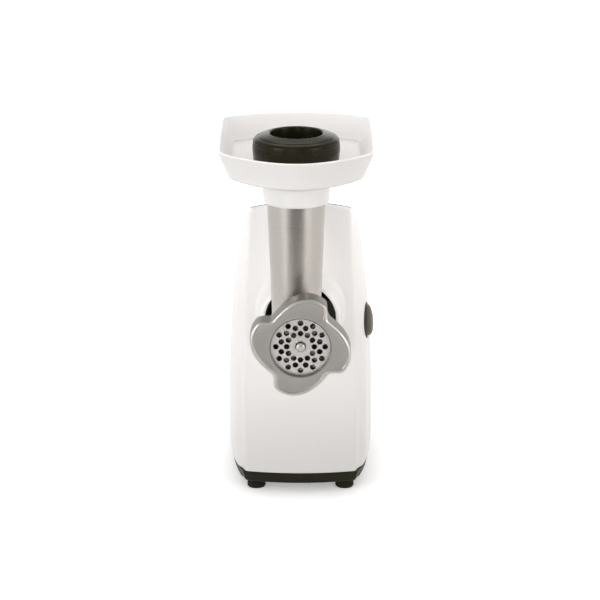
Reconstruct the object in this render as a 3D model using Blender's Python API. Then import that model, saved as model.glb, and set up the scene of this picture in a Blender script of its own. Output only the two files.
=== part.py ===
"""Electric meat grinder, upright body, as separate working pieces.

Lengths are written in millimetres and scaled to metres when a mesh is made.
Frame: +Z up, floor at z = 0, the front of the machine faces -Y, the origin
is under the middle of the whole machine.
"""
import bpy
import bmesh
import math
from mathutils import Vector

MM = 0.001

# ---------------------------------------------------------------- dimensions
AX, AZ = 1.7335, 165.0            # auger axis (runs along Y): x and z
TX, TY = -1.6665, -76.0           # feed tube axis (runs along Z): x and y
GAP = 0.3                      # clearance between touching pieces

BODY_Z0 = 18.5                 # lower edge of the white body
BODY_FRONT = -19.0             # middle of the front face
BODY_CROWN = 6.0               # how far the front face bows back to its edges
BODY_SEAM = 4.0                # seam between front panel and rear housing
BODY_BACK = 164.0              # rear face
WALL = 2.5                     # shell wall
BODY_TOP = 258.6               # highest point, at the front
TOP_SLOPE = 0.275              # fall of the top, mm per mm towards the back
TOP_CROWN = 5.9                # arch of the top edge across the width

BOSS_FRONT = -46.0             # front rim of the round drive boss
BOSS_R_RIM, BOSS_R_BASE, BOSS_BORE = 32.5, 35.4, 29.7

BASE_Z0 = 8.0                  # underside of the base tray
FOOT_R = 8.0

PLATE_FRONT, PLATE_BACK, PLATE_R = -120.0, -115.0, 27.0
PLATE_RINGS = ((11.1, 0.0), (16.0, 15.0), (19.9, 0.0))   # radius, phase
HOLE_R = 2.25
NUT_FRONT, NUT_BACK = -124.0, -104.0
NUT_R_MAX, NUT_R_VALLEY, NUT_OPENING = 41.6, 32.1, 24.0
BARREL_BORE = 22.0
HEAD_FRONT = -118.0
NECK_R = 24.0
PIN_R = 3.7

TRAY_HALF, TRAY_BOTTOM_HALF = 62.1, 54.8
TRAY_Z0, TRAY_Z1 = 304.0, 327.7
COLLAR_R, COLLAR_Z0 = 27.1, 275.0
PUSHER_R, PUSHER_Z1 = 35.25, 331.5

MOTOR_Z = 84.0                 # motor shaft axis height
IDLER_Z = 120.0                # idler axis height
M1, M2 = 1.0, 1.5              # gear modules
N_MOTOR, N_IDLER, N_SMALL, N_OUT = 12, 60, 12, 48

SWITCH_Y, SWITCH_Z, SWITCH_R = 22.0, 143.3, 13.9


# ------------------------------------------------------------------ helpers
def clear_scene():
    for ob in list(bpy.data.objects):
        bpy.data.objects.remove(ob, do_unlink=True)


MATS = {}


def material(name, colour, rough, metal=0.0):
    if name in MATS:
        return MATS[name]
    m = bpy.data.materials.new(name)
    m.use_nodes = True
    b = m.node_tree.nodes["Principled BSDF"]
    b.inputs["Base Color"].default_value = (*colour, 1.0)
    b.inputs["Roughness"].default_value = rough
    b.inputs["Metallic"].default_value = metal
    m.diffuse_color = (*colour, 1.0)
    MATS[name] = m
    return m


def make(name, verts, faces, mat, smooth=30.0):
    """One closed body from points in millimetres."""
    me = bpy.data.meshes.new(name)
    me.from_pydata([(x * MM, y * MM, z * MM) for x, y, z in verts], [], faces)
    bm = bmesh.new()
    bm.from_mesh(me)
    bmesh.ops.remove_doubles(bm, verts=bm.verts, dist=1e-6)
    bmesh.ops.recalc_face_normals(bm, faces=bm.faces)
    bm.to_mesh(me)
    bm.free()
    ob = bpy.data.objects.new(name, me)
    bpy.context.scene.collection.objects.link(ob)
    me.materials.append(mat)
    if smooth:
        me.shade_smooth()
        me.set_sharp_from_angle(angle=math.radians(smooth))
    return ob


def place(axis, c, r, a, t):
    """Point at radius r, angle t, distance a along the axis through c."""
    u, v = r * math.cos(t), r * math.sin(t)
    if axis == "X":
        return (c[0] + a, c[1] + u, c[2] + v)
    if axis == "Y":
        return (c[0] + u, c[1] + a, c[2] + v)
    return (c[0] + u, c[1] + v, c[2] + a)


def turned(name, prof, mat, axis="Z", c=(0, 0, 0), n=32, smooth=30.0, t0=0.0):
    """Turned piece. prof is a list of (radius, distance along the axis); a
    profile that starts and ends on the axis is solid, any other is a ring."""
    verts, rings = [], []
    for r, a in prof:
        if r == 0:
            rings.append([len(verts)] * n)
            verts.append(place(axis, c, 0, a, 0))
        else:
            rings.append(list(range(len(verts), len(verts) + n)))
            verts += [place(axis, c, r, a, t0 + 2 * math.pi * k / n) for k in range(n)]
    closed = prof[0][0] > 0
    faces = []
    m = len(rings)
    for i in range(m if closed else m - 1):
        a, b = rings[i], rings[(i + 1) % m]
        for k in range(n):
            q = [a[k], a[(k + 1) % n], b[(k + 1) % n], b[k]]
            f = []
            for v in q:
                if v not in f:
                    f.append(v)
            if len(f) > 2:
                faces.append(f)
    return make(name, verts, faces, mat, smooth)


def slab(name, loops, a0, a1, mat, axis="Y", c=(0, 0, 0), smooth=30.0):
    """Flat piece with straight sides: loops[0] is its outline and the rest
    are holes, as (u, v) points; it runs from a0 to a1 along the axis."""
    def pt(u, v, a):
        if axis == "X":
            return (c[0] + a, c[1] + u, c[2] + v)
        if axis == "Y":
            return (c[0] + u, c[1] + a, c[2] + v)
        return (c[0] + u, c[1] + v, c[2] + a)
    bm = bmesh.new()
    edges, index = [], []
    for lp in loops:
        vs = [bm.verts.new((u, v, 0)) for u, v in lp]
        index.append(vs)
        edges += [bm.edges.new((vs[i], vs[(i + 1) % len(vs)])) for i in range(len(vs))]
    bm.verts.index_update()
    bmesh.ops.triangle_fill(bm, use_beauty=True, use_dissolve=False, edges=edges)
    tris = [[v.index for v in f.verts] for f in bm.faces]
    flat = [(v.co.x, v.co.y) for v in bm.verts]
    ids = [[v.index for v in vs] for vs in index]
    bm.free()
    n = len(flat)
    verts = [pt(u, v, a0) for u, v in flat] + [pt(u, v, a1) for u, v in flat]
    faces = [f for f in tris] + [[i + n for i in reversed(f)] for f in tris]
    for vs in ids:
        for i in range(len(vs)):
            a, b = vs[i], vs[(i + 1) % len(vs)]
            faces.append([a, b, b + n, a + n])
    return make(name, verts, faces, mat, smooth)


def box(name, lo, hi, mat):
    (x0, y0, z0), (x1, y1, z1) = lo, hi
    v = [(x0, y0, z0), (x1, y0, z0), (x1, y1, z0), (x0, y1, z0),
         (x0, y0, z1), (x1, y0, z1), (x1, y1, z1), (x0, y1, z1)]
    f = [(0, 3, 2, 1), (4, 5, 6, 7), (0, 1, 5, 4), (1, 2, 6, 5), (2, 3, 7, 6), (3, 0, 4, 7)]
    return make(name, v, f, mat, 0)


def circle(r, n, cu=0.0, cv=0.0, t0=0.0):
    return [(cu + r * math.cos(t0 + 2 * math.pi * k / n),
             cv + r * math.sin(t0 + 2 * math.pi * k / n)) for k in range(n)]


def rounded(hu, hv, r, n=4, cu=0.0, cv=0.0):
    """Rectangle with rounded corners, half sizes hu, hv."""
    out = []
    for sx, sy, t in ((1, 1, 0), (-1, 1, 90), (-1, -1, 180), (1, -1, 270)):
        for k in range(n + 1):
            a = math.radians(t + 90 * k / n)
            out.append((cu + sx * (hu - r) + r * math.cos(a), cv + sy * (hv - r) + r * math.sin(a)))
    return out


def capsule(r, v0, v1, n=12, cu=0.0):
    """Outline round two circles of radius r, centred at v0 and v1."""
    out = [(cu + r * math.cos(math.pi * k / n), v1 + r * math.sin(math.pi * k / n)) for k in range(n + 1)]
    out += [(cu + r * math.cos(math.pi + math.pi * k / n), v0 + r * math.sin(math.pi + math.pi * k / n)) for k in range(n + 1)]
    return out


def combine(ob, tool, op):
    """Boolean of ob with tool, baked into ob; the tool is taken away."""
    tool.hide_render = True
    tool.display_type = 'WIRE'
    md = ob.modifiers.new("bool", 'BOOLEAN')
    md.operation = op
    md.solver = 'EXACT'
    md.object = tool
    dg = bpy.context.evaluated_depsgraph_get()
    me = bpy.data.meshes.new_from_object(ob.evaluated_get(dg), depsgraph=dg)
    ob.modifiers.clear()
    old = ob.data
    ob.data = me
    bpy.data.meshes.remove(old)
    tm = tool.data
    bpy.data.objects.remove(tool, do_unlink=True)
    bpy.data.meshes.remove(tm)
    bm = bmesh.new()
    bm.from_mesh(me)
    bmesh.ops.remove_doubles(bm, verts=bm.verts, dist=1e-6)

    bm.to_mesh(me)
    bm.free()
    me.shade_smooth()
    me.set_sharp_from_angle(angle=math.radians(30))
    return ob


def cut(ob, tool):
    return combine(ob, tool, 'DIFFERENCE')


def add(ob, tool):
    return combine(ob, tool, 'UNION')


def lerp_table(tab, x):
    if x <= tab[0][0]:
        return tab[0][1]
    for (x0, y0), (x1, y1) in zip(tab, tab[1:]):
        if x <= x1:
            t = (x - x0) / (x1 - x0)
            return y0 + (y1 - y0) * t
    return tab[-1][1]


# --------------------------------------------------------------- body shape
# half-width of the body by height, at its widest section and at its front edge
WIDE = ((18.5, 60.2), (33, 61.9), (61, 62.2), (112, 61.2), (153, 58.6),
        (188, 54.4), (206, 51.2), (220, 47.6), (235, 44.2), (258, 40.6))
EDGE = ((18.5, 48.0), (60, 48.4), (120, 47.8), (185, 46.2), (220, 44.6), (250, 42.8), (258, 42.2))


def bulge(y):
    """0 at the front edge, 1 at the widest section, falling to the back."""
    if y < 50:
        t = max(0.0, (y + 16.0) / 66.0)
        return 1 - (1 - t) ** 2
    return 1 - 0.85 * ((y - 50) / 114.0) ** 3


def half_width(y, z):
    e, w = lerp_table(EDGE, z), lerp_table(WIDE, z)
    return e + (w - e) * bulge(y)


def top_z(y):
    return BODY_TOP - TOP_SLOPE * (y - BODY_FRONT) - 72.0 * (max(0.0, y - 70.0) / 94.0) ** 2.2


def shoulder(y):
    """Radius between side and top."""
    return 1.8 + 17.2 * min(1.0, max(0.0, (y + 14) / 55.0))


def section(y, inset=0.0, fade=0.0, ns=7, nc=2, nt=2):
    """Open outline of the body across its width: up the left side, over the
    top, down the right side. fade = 1 bows it back like the front face."""
    right = []
    zt = top_z(y) - inset
    r = max(1.0, shoulder(y) - inset)
    crown = TOP_CROWN if y < 50 else TOP_CROWN * 0.7
    zs = zt - crown - r
    for k in range(ns):
        z = BODY_Z0 + (zs - BODY_Z0) * k / (ns - 1)
        right.append((half_width(y, z) - inset, z))
    wx = right[-1][0]
    for k in range(1, nc + 1):
        a = math.radians(90 * k / (nc + 1))
        right.append((wx - r + r * math.cos(a), zs + r * math.sin(a)))
    xe = wx - r
    for k in range(nt):
        x = xe * (1 - k / nt)
        right.append((x, zs + r + crown * (1 - (x / xe) ** 2)))
    right.append((0.0, zt))
    left = [(-x, z) for x, z in right[:-1]]
    pts = left + right[::-1]
    out = []
    for x, z in pts:
        w = lerp_table(EDGE, z)
        out.append((AX + x, y + fade * BODY_CROWN * (x / w) ** 2, z))
    return out


def strip(rows, a, b, faces):
    for k in range(len(a) - 1):
        faces.append([a[k], a[k + 1], b[k + 1], b[k]])


def cap_grid(verts, faces, ring, fade, y, cols=4):
    """Face across the open end of a section, row by row."""
    n = len(ring)
    half = n // 2
    prev = None
    for i in range(half + 1):
        l, r = ring[i], ring[n - 1 - i]
        if l == r:
            row = [l]
        else:
            xl, zl = verts[l][0], verts[l][2]
            xr = verts[r][0]
            row = [l]
            for j in range(1, cols):
                x = xl + (xr - xl) * j / cols
                w = lerp_table(EDGE, zl)
                row.append(len(verts))
                verts.append((x, y + fade * BODY_CROWN * ((x - AX) / w) ** 2, zl))
            row.append(r)
        if i == 0:
            first = row
        if prev is not None:
            if len(row) == 1:
                for j in range(len(prev) - 1):
                    faces.append([prev[j], prev[j + 1], row[0]])
            else:
                for j in range(len(row) - 1):
                    faces.append([prev[j], prev[j + 1], row[j + 1], row[j]])
        prev = row
    return first


def shell(name, outer, inner, fade, y_out, y_in, mat):
    """Thin shell between an outer and an inner run of sections. The first
    section of each run is closed by a face; the last is the open rim, and
    the underside stays open."""
    verts, faces, chains, rims = [], [], [], []
    for rings, y in ((outer, y_out), (inner, y_in)):
        idx = []
        for rg in rings:
            idx.append(list(range(len(verts), len(verts) + len(rg))))
            verts += rg
        for a, b in zip(idx, idx[1:]):
            strip(None, a, b, faces)
        row = cap_grid(verts, faces, idx[0], fade, y)
        chains.append([r[0] for r in idx[::-1]] + row[1:-1] + [r[-1] for r in idx])
        rims.append(idx[-1])
    strip(None, chains[0], chains[1], faces)
    strip(None, rims[0], rims[1], faces)
    return make(name, verts, faces, mat)


def plan_outline(inset=0.0):
    """Outline of the body's lower edge, seen from above."""
    z = BODY_Z0
    ys = [-12.0, -4.0, 8.0, 22.0, 36.0, 50.0, 75.0, 100.0, 122.0, 140.0, 152.0, 159.0, 163.0]
    right = [(half_width(y, z) - inset, y + (inset if y < 0 else 0) - (inset if y > 158 else 0)) for y in ys]
    back = [(half_width(163.0, z) - 5.0 - inset, BODY_BACK - inset), (20.0, BODY_BACK - inset)]
    pts = right + back + [(-x, y) for x, y in back[::-1]] + [(-x, y) for x, y in right[::-1]]
    e = EDGE[0][1]
    for x in (-44.5, -24.0, 0.0, 24.0, 44.5):
        pts.append((x * (1 - inset / 60), BODY_FRONT + BODY_CROWN * (x / e) ** 2 + inset))
    return [(AX + x, y) for x, y in pts]


# -------------------------------------------------------------------- gears
def gear_outline(m, z, add_k, backlash, centre_angle, tooth=True, fine=True):
    """Involute gear outline. A tooth (or a space) is centred on the angle."""
    alpha = math.radians(25)
    rp = m * z / 2
    rb = rp * math.cos(alpha)
    ra = rp + add_k * m
    rf = rp - 1.15 * m
    half = (math.pi * m / 2 - backlash) / 2 / rp
    inv = lambda a: math.tan(a) - a

    def half_angle(r):
        if r <= rb:
            return half + inv(alpha)
        return half + inv(alpha) - inv(math.acos(rb / r))
    radii = [max(rb, rf + 0.15 * m), rp, ra] if fine else [max(rb, rf + 0.15 * m), ra]
    base = math.radians(centre_angle) + (0 if tooth else math.pi / z)
    pts = []
    for k in range(z):
        c = base + 2 * math.pi * k / z
        h0 = half_angle(radii[0])
        pts.append((rf * math.cos(c - h0), rf * math.sin(c - h0)))
        for r in radii[1:]:
            h = half_angle(r)
            pts.append((r * math.cos(c - h), r * math.sin(c - h)))
        for r in reversed(radii[1:]):
            h = half_angle(r)
            pts.append((r * math.cos(c + h), r * math.sin(c + h)))
        pts.append((rf * math.cos(c + h0), rf * math.sin(c + h0)))
    return pts


# ==================================================================== build
clear_scene()
WHITE = material("white_plastic", (0.86, 0.85, 0.84), 0.35)
BLACK = material("black_plastic", (0.022, 0.021, 0.014), 0.45)
BLACK2 = material("black_socket", (0.012, 0.012, 0.010), 0.5)
RUBBER = material("foot_rubber", (0.016, 0.016, 0.012), 0.75)
HEADM = material("cast_aluminium", (0.60, 0.585, 0.56), 0.38, 1.0)
NUTM = material("nut_metal", (0.42, 0.405, 0.385), 0.42, 1.0)
STEEL = material("plate_steel", (0.70, 0.69, 0.67), 0.28, 1.0)
KNIFEM = material("knife_steel", (0.62, 0.62, 0.62), 0.30, 1.0)
AUGERM = material("auger_metal", (0.55, 0.54, 0.52), 0.45, 1.0)
TRAYM = material("tray_plastic", (0.88, 0.87, 0.86), 0.30)
PUSHM = material("pusher_plastic", (0.022, 0.021, 0.013), 0.38)
ROCKM = material("rocker_plastic", (0.085, 0.08, 0.052), 0.42)
GEARCASE = material("gearcase_metal", (0.48, 0.48, 0.48), 0.55, 1.0)
NYLON = material("gear_nylon", (0.78, 0.76, 0.68), 0.5)
GSTEEL = material("gear_steel", (0.45, 0.45, 0.46), 0.35, 1.0)
SHAFTM = material("shaft_steel", (0.58, 0.58, 0.60), 0.25, 1.0)
BRONZE = material("bush_bronze", (0.55, 0.40, 0.20), 0.4, 1.0)
LAMM = material("lamination_steel", (0.28, 0.28, 0.30), 0.6, 1.0)
COILM = material("coil_copper", (0.45, 0.19, 0.07), 0.45, 1.0)
COMM = material("commutator_copper", (0.62, 0.34, 0.17), 0.35, 1.0)
CARBON = material("brush_carbon", (0.03, 0.03, 0.03), 0.8)
BRASS = material("holder_brass", (0.65, 0.50, 0.22), 0.35, 1.0)
SCREWM = material("screw_zinc", (0.62, 0.62, 0.63), 0.35, 1.0)

# ---- body shells
RUN_F = ((0.0, 3.0, 1.0), (0.9, 0.9, 1.0), (3.0, 0.0, 1.0), (11.0, 0.0, 0.5))
outer = [section(BODY_FRONT + s, i, f) for s, i, f in RUN_F] + [section(BODY_SEAM, 0.0, 0.0)]
inner = [section(BODY_FRONT + WALL + s * 0.9, i * 0.4 + WALL, f) for s, i, f in RUN_F] + [section(BODY_SEAM, WALL, 0.0)]
front_panel = shell("front_panel", outer, inner, 1.0, BODY_FRONT, BODY_FRONT + WALL, WHITE)
boss = turned("tmp_boss", [(BOSS_R_BASE + 0.8, BODY_FRONT - 0.6), (BOSS_R_BASE, BODY_FRONT - 1.6), (BOSS_R_RIM + 0.9, BOSS_FRONT + 3.0),
                           (BOSS_R_RIM, BOSS_FRONT + 1.2), (BOSS_R_RIM - 1.2, BOSS_FRONT), (BOSS_BORE - 1.5, BOSS_FRONT),
                           (BOSS_BORE - 1.5, -7.0), (BOSS_R_BASE + 0.8, -7.0)], WHITE, "Y", (AX, 0, AZ), 32)
add(front_panel, boss)
cut(front_panel, turned("tmp_bore", [(0, -60), (BOSS_BORE, -60), (BOSS_BORE, 0), (0, 0)], WHITE, "Y", (AX, 0, AZ), 32))

RUN_R = ((BODY_BACK, 5.0), (BODY_BACK - 4.0, 0.6), (146.0, 0.0), (120.0, 0.0), (90.0, 0.0), (60.0, 0.0), (32.0, 0.0), (BODY_SEAM + GAP, 0.0))
outer = [section(y, i) for y, i in RUN_R]
inner = [section(min(y, BODY_BACK - WALL - (BODY_BACK - y) * 0.8) if y > 150 else y, i + WALL) for y, i in RUN_R]
rear_housing = shell("rear_housing", outer, inner, 0.0, BODY_BACK, BODY_BACK - WALL, WHITE)
SCREW_XY = ((-44.0, 30.0), (47.4, 30.0), (-44.0, 128.0), (47.4, 128.0))
for sx, sy in SCREW_XY:
    s = 1 if sx > AX else -1
    wx = half_width(sy, 30.0) - 1.2
    add(rear_housing, box("tmp_rib", (min(sx, AX + s * wx), sy - 4, 19.0), (max(sx, AX + s * wx), sy + 4, 44.0), WHITE))
    add(rear_housing, turned("tmp_post", [(0, 18.8), (5.2, 18.8), (5.2, 44.3), (0, 44.3)], WHITE, "Z", (sx, sy, 0), 10))
    cut(rear_housing, turned("tmp_pilot", [(0, 18.0), (2.2, 18.0), (2.2, 36.0), (0, 36.0)], WHITE, "Z", (sx, sy, 0), 8))
WX = AX + half_width(SWITCH_Y, SWITCH_Z)
cut(rear_housing, turned("tmp_swhole", [(0, 40), (SWITCH_R + 1.8, 40), (SWITCH_R + 1.8, 80), (0, 80)], WHITE, "X", (0, SWITCH_Y, SWITCH_Z), 32))
cut(rear_housing, turned("tmp_inlet", [(0, 150), (6.3, 150), (6.3, 175), (0, 175)], WHITE, "Y", (AX, 0, 38.0), 16))

# ---- base tray
outer, inner = plan_outline(0.0), plan_outline(3.0)
low = plan_outline(2.2)
n = len(outer)
verts = [(x, y, BASE_Z0) for x, y in plan_outline(4.0)] + [(x, y, BASE_Z0 + 1.6) for x, y in low] + \
        [(x, y, BODY_Z0 - GAP) for x, y in outer] + [(x, y, BODY_Z0 - GAP) for x, y in inner] + \
        [(x, y, BASE_Z0 + 3.0) for x, y in plan_outline(5.0)]
faces = [list(range(n))[::-1], list(range(4 * n, 5 * n))]
for lv in range(4):
    for k in range(n):
        k2 = (k + 1) % n
        faces.append([lv * n + k, lv * n + k2, (lv + 1) * n + k2, (lv + 1) * n + k])
base_tray = make("base_tray", verts, faces, BLACK)
for k in range(4):
    y = 62.0 + 13.0 * k
    cut(base_tray, box("tmp_vent", (AX - 24, y, 5.0), (AX + 24, y + 4.0, 14.0), BLACK))
FEET = {"foot_front_left": (AX - 38.0, 0.0), "foot_front_right": (AX + 38.0, 0.0),
        "foot_rear_left": (AX - 38.0, 146.0), "foot_rear_right": (AX + 38.0, 146.0)}
for nm, (fx, fy) in FEET.items():
    cut(base_tray, turned("tmp_fh", [(0, 5), (3.3, 5), (3.3, 14), (0, 14)], BLACK, "Z", (fx, fy, 0), 8))
    turned(nm, [(0, 0), (FOOT_R - 1.0, 0), (FOOT_R, 1.2), (FOOT_R - 0.4, BASE_Z0 - GAP), (3.0, BASE_Z0 - GAP), (3.0, 13.0), (0, 13.0)],
           RUBBER, "Z", (fx, fy, 0), 16)
for k, (sx, sy) in enumerate(SCREW_XY):
    cut(base_tray, turned("tmp_sh", [(0, 5), (2.3, 5), (2.3, 14), (0, 14)], BLACK, "Z", (sx, sy, 0), 8))
    turned("base_screw_%d" % (k + 1), [(0, 5.4), (2.6, 5.6), (3.5, 7.0), (3.5, BASE_Z0 - GAP), (1.9, BASE_Z0 - GAP), (1.9, 33.0), (0, 34.5)],
           SCREWM, "Z", (sx, sy, 0), 8)

# ---- socket ring in the boss, with three entry slots for the head's lugs
LUG_ANGLES = (90.0, 210.0, 330.0)
LOCK_TURN = 45.0
head_socket = turned("head_socket", [(NECK_R + 0.5, -39.0), (BOSS_BORE - GAP, -39.0), (BOSS_BORE - GAP, -8.0), (NECK_R + 0.5, -8.0),
                                     (NECK_R + 0.5, -22.0), (28.0, -22.0), (28.0, -32.0), (NECK_R + 0.5, -32.0)],
                     BLACK2, "Y", (AX, 0, AZ), 28)
for a in LUG_ANGLES:
    t = math.radians(a - LOCK_TURN)
    w = math.radians(11.5)
    loop = [(24.0 * math.cos(t - w), 24.0 * math.sin(t - w)), (28.0 * math.cos(t - w), 28.0 * math.sin(t - w)),
            (28.0 * math.cos(t), 28.0 * math.sin(t)),
            (28.0 * math.cos(t + w), 28.0 * math.sin(t + w)), (24.0 * math.cos(t + w), 24.0 * math.sin(t + w)),
            (22.5 * math.cos(t), 22.5 * math.sin(t))]
    cut(head_socket, slab("tmp_slot", [loop], -42.0, -27.0, BLACK2, "Y", (AX, 0, AZ)))

# ---- grinder head: barrel, feed tube and neck in one casting
def tube_out(z):
    return 21.25 + (z - 215.0) * 2.4 / 60.0


def tube_in(z):
    return tube_out(z) - 2.4


head = turned("grinder_head", [(0, HEAD_FRONT), (30.0, HEAD_FRONT), (30.0, -103.0), (27.0, -101.0), (26.0, -98.0), (25.5, -60.0), (NECK_R, -53.0), (NECK_R, -12.0), (0, -12.0)],
              HEADM, "Y", (AX, 0, AZ), 28)
tz = [150.0, 215.0, 275.0, 303.0]
add(head, turned("tmp_tube", [(0, tz[0])] + [(tube_out(z) if z < 276 else tube_out(275), z) for z in tz] + [(0, tz[-1])], HEADM, "Z", (TX, TY, 0), 28))
for a in LUG_ANGLES:
    t = math.radians(a)
    w = math.radians(9.0)
    loop = [(23.2 * math.cos(t - w), 23.2 * math.sin(t - w)), (27.5 * math.cos(t - w), 27.5 * math.sin(t - w)),
            (27.5 * math.cos(t), 27.5 * math.sin(t)),
            (27.5 * math.cos(t + w), 27.5 * math.sin(t + w)), (23.2 * math.cos(t + w), 23.2 * math.sin(t + w))]
    add(head, slab("tmp_lug", [loop], -31.0, -23.0, HEADM, "Y", (AX, 0, AZ)))
cut(head, turned("tmp_tbore", [(0, 172.0), (tube_in(172.0), 172.0), (tube_in(275), 275.0), (tube_in(275), 310.0), (0, 310.0)], HEADM, "Z", (TX, TY, 0), 28))
cut(head, turned("tmp_bbore", [(0, -130.0), (PLATE_R + GAP, -130.0), (PLATE_R + GAP, -108.0), (BARREL_BORE, -106.5), (BARREL_BORE, -58.0), (0, -58.0)], HEADM, "Y", (AX, 0, AZ), 28))
cut(head, turned("tmp_shole", [(0, -62.0), (8.0, -62.0), (8.0, -50.0), (20.5, -48.0), (20.5, -5.0), (0, -5.0)], HEADM, "Y", (AX, 0, AZ), 24))
# key pin in the mouth that stops the plate from turning
add(head, box("tmp_key", (AX - 1.4, HEAD_FRONT + 0.5, AZ - 28.5), (AX + 1.4, -112.0, AZ - 25.6), HEADM))

# ---- auger: core with one helical flight, drive tail and front pin
def auger_section(a0):
    """Outline of core and flight across the axis; the flight is at a0."""
    core, tip = 9.0, 21.4
    pts = []
    for d, r in ((-33, core), (-14, tip), (0, tip), (14, tip), (33, core)):
        pts.append((r, d))
    for d in (73, 113, 153, 193, 233, 285):
        pts.append((core, d))
    return [(r * math.cos(math.radians(a0 + d)), r * math.sin(math.radians(a0 + d))) for r, d in pts]


Y0, Y1, PITCH, SL = -107.0, -59.5, 23.0, 25
verts, faces = [], []
for k in range(SL + 1):
    y = Y0 + (Y1 - Y0) * k / SL
    for u, v in auger_section(60 + 360.0 * (y - Y0) / PITCH):
        verts.append((AX + u, y, AZ + v))
m = len(verts) // (SL + 1)
for k in range(SL):
    for j in range(m):
        faces.append([k * m + j, k * m + (j + 1) % m, (k + 1) * m + (j + 1) % m, (k + 1) * m + j])
faces += [list(range(m)), [SL * m + j for j in reversed(range(m))]]
auger = make("auger", verts, faces, AUGERM)
add(auger, turned("tmp_tail", [(0, -62.0), (7.6, -62.0), (7.6, -17.5), (5.0, -17.5), (0, -17.5)], AUGERM, "Y", (AX, 0, AZ), 16))
add(auger, slab("tmp_square", [rounded(4.9, 4.9, 0.9, 1)], -19.0, -6.5, AUGERM, "Y", (AX, 0, AZ)))
add(auger, slab("tmp_seat", [rounded(4.6, 4.6, 0.8, 1)], -114.6, -106.0, AUGERM, "Y", (AX, 0, AZ)))
add(auger, turned("tmp_pin", [(0, -124.4), (2.2, -124.4), (PIN_R, -123.2), (PIN_R, -110.0), (0, -110.0)], AUGERM, "Y", (AX, 0, AZ), 12))

# ---- knife: four blades on a square hub
outl = []
for q in range(4):
    b = 90.0 * q + 50.0
    for r, d in ((8.5, -38), (10.5, -14), (17.0, -9), (24.8, -6), (25.2, 5), (17.0, 9), (10.5, 16)):
        t = math.radians(b + d)
        outl.append((r * math.cos(t), r * math.sin(t)))
slab("knife", [outl, rounded(4.9, 4.9, 0.5, 1)], -114.7, -109.5, KNIFEM, "Y", (AX, 0, AZ))

# ---- grinding plate with its holes and key notch
rim = []
for k in range(36):
    t = 2 * math.pi * k / 36 - math.pi / 2
    if k == 0:
        rim += [(-1.8, -math.sqrt(PLATE_R ** 2 - 1.8 ** 2)), (-1.8, -25.2), (1.8, -25.2), (1.8, -math.sqrt(PLATE_R ** 2 - 1.8 ** 2))]
    else:
        rim.append((PLATE_R * math.cos(t), PLATE_R * math.sin(t)))
loops = [rim, circle(PIN_R + 0.3, 16)]
for r, ph in PLATE_RINGS:
    for k in range(12):
        t = math.radians(ph + 30 * k)
        loops.append(circle(HOLE_R, 6, r * math.cos(t), r * math.sin(t), t))
slab("grinding_plate", loops, PLATE_FRONT, PLATE_BACK, STEEL, "Y", (AX, 0, AZ))


# ---- ring nut with four grip lobes
def lobe_r(deg):
    """Radius of the nut's outline; deg counts clockwise from the top as seen
    from the front. It climbs slowly to a corner, then drops to a valley."""
    d = (deg - 43.5) % 90.0
    if d < 62.0:
        t = d / 62.0
        s = t * t * (3 - 2 * t)
        return NUT_R_VALLEY + (NUT_R_MAX - NUT_R_VALLEY) * s
    if d < 76.0:
        t = (d - 62.0) / 14.0
        return NUT_R_MAX - 1.0 * t * t
    t = (d - 76.0) / 14.0
    s = t * t * (3 - 2 * t)
    return NUT_R_MAX - 1.0 - (NUT_R_MAX - 1.0 - NUT_R_VALLEY) * s


NL = 56
rings_n = []
for y, inset, kind in ((NUT_BACK, 0.0, "o"), (NUT_FRONT + 2.2, 0.0, "o"), (NUT_FRONT + 0.6, 0.7, "o"), (NUT_FRONT, 2.2, "o"),
                       (NUT_FRONT, NUT_OPENING, "c"), (PLATE_FRONT - 0.35, NUT_OPENING, "c"), (PLATE_FRONT - 0.35, 30.5, "c"), (NUT_BACK, 30.5, "c")):
    rg = []
    for k in range(NL):
        deg = 360.0 * k / NL
        t = math.radians(90 - deg)
        r = lobe_r(deg) - inset if kind == "o" else inset
        rg.append((AX + r * math.cos(t), y, AZ + r * math.sin(t)))
    rings_n.append(rg)
verts = [p for rg in rings_n for p in rg]
faces = []
L = len(rings_n)
for i in range(L):
    for k in range(NL):
        a, b = i * NL, ((i + 1) % L) * NL
        faces.append([a + k, a + (k + 1) % NL, b + (k + 1) % NL, b + k])
make("ring_nut", verts, faces, NUTM)


# ---- feed tray with its collar
def tray_outline(h, front, back, bow, soft=12):
    """Closed plan outline from the front middle: a bowed front edge, sides that
    swell by bow, and a bowed back edge, with the corners eased round.
    front/back = (y at the middle, y at the corners)."""
    mid = (front[1] + back[1]) / 2
    side = lambda y: h + bow * (1 - ((y - mid) / 60.0) ** 2)
    xc = side(front[1])
    half = [(xc * i / 34, front[0] + (front[1] - front[0]) * (i / 34) ** 1.87) for i in range(34)]
    for i in range(50):
        y = front[1] + (back[1] - front[1]) * i / 50
        half.append((side(y), y))
    half += [(xc * (1 - i / 30), back[0] + (back[1] - back[0]) * (1 - i / 30) ** 2) for i in range(31)]
    loop = half + [(-x, y) for x, y in half[-2:0:-1]]
    n = len(loop)
    for _ in range(soft):
        loop = [tuple(0.25 * loop[k - 1][c] + 0.5 * loop[k][c] + 0.25 * loop[(k + 1) % n][c] for c in (0, 1)) for k in range(n)]
    pick = [0, 6, 12, 18, 24, 29, 32, 34, 36, 39, 46, 56, 66, 74, 79, 82, 84, 86, 89, 94, 100, 106, 114]
    pick += [n - k for k in pick[-2:0:-1]]
    return [(TX + loop[k][0], loop[k][1]) for k in pick]


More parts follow.
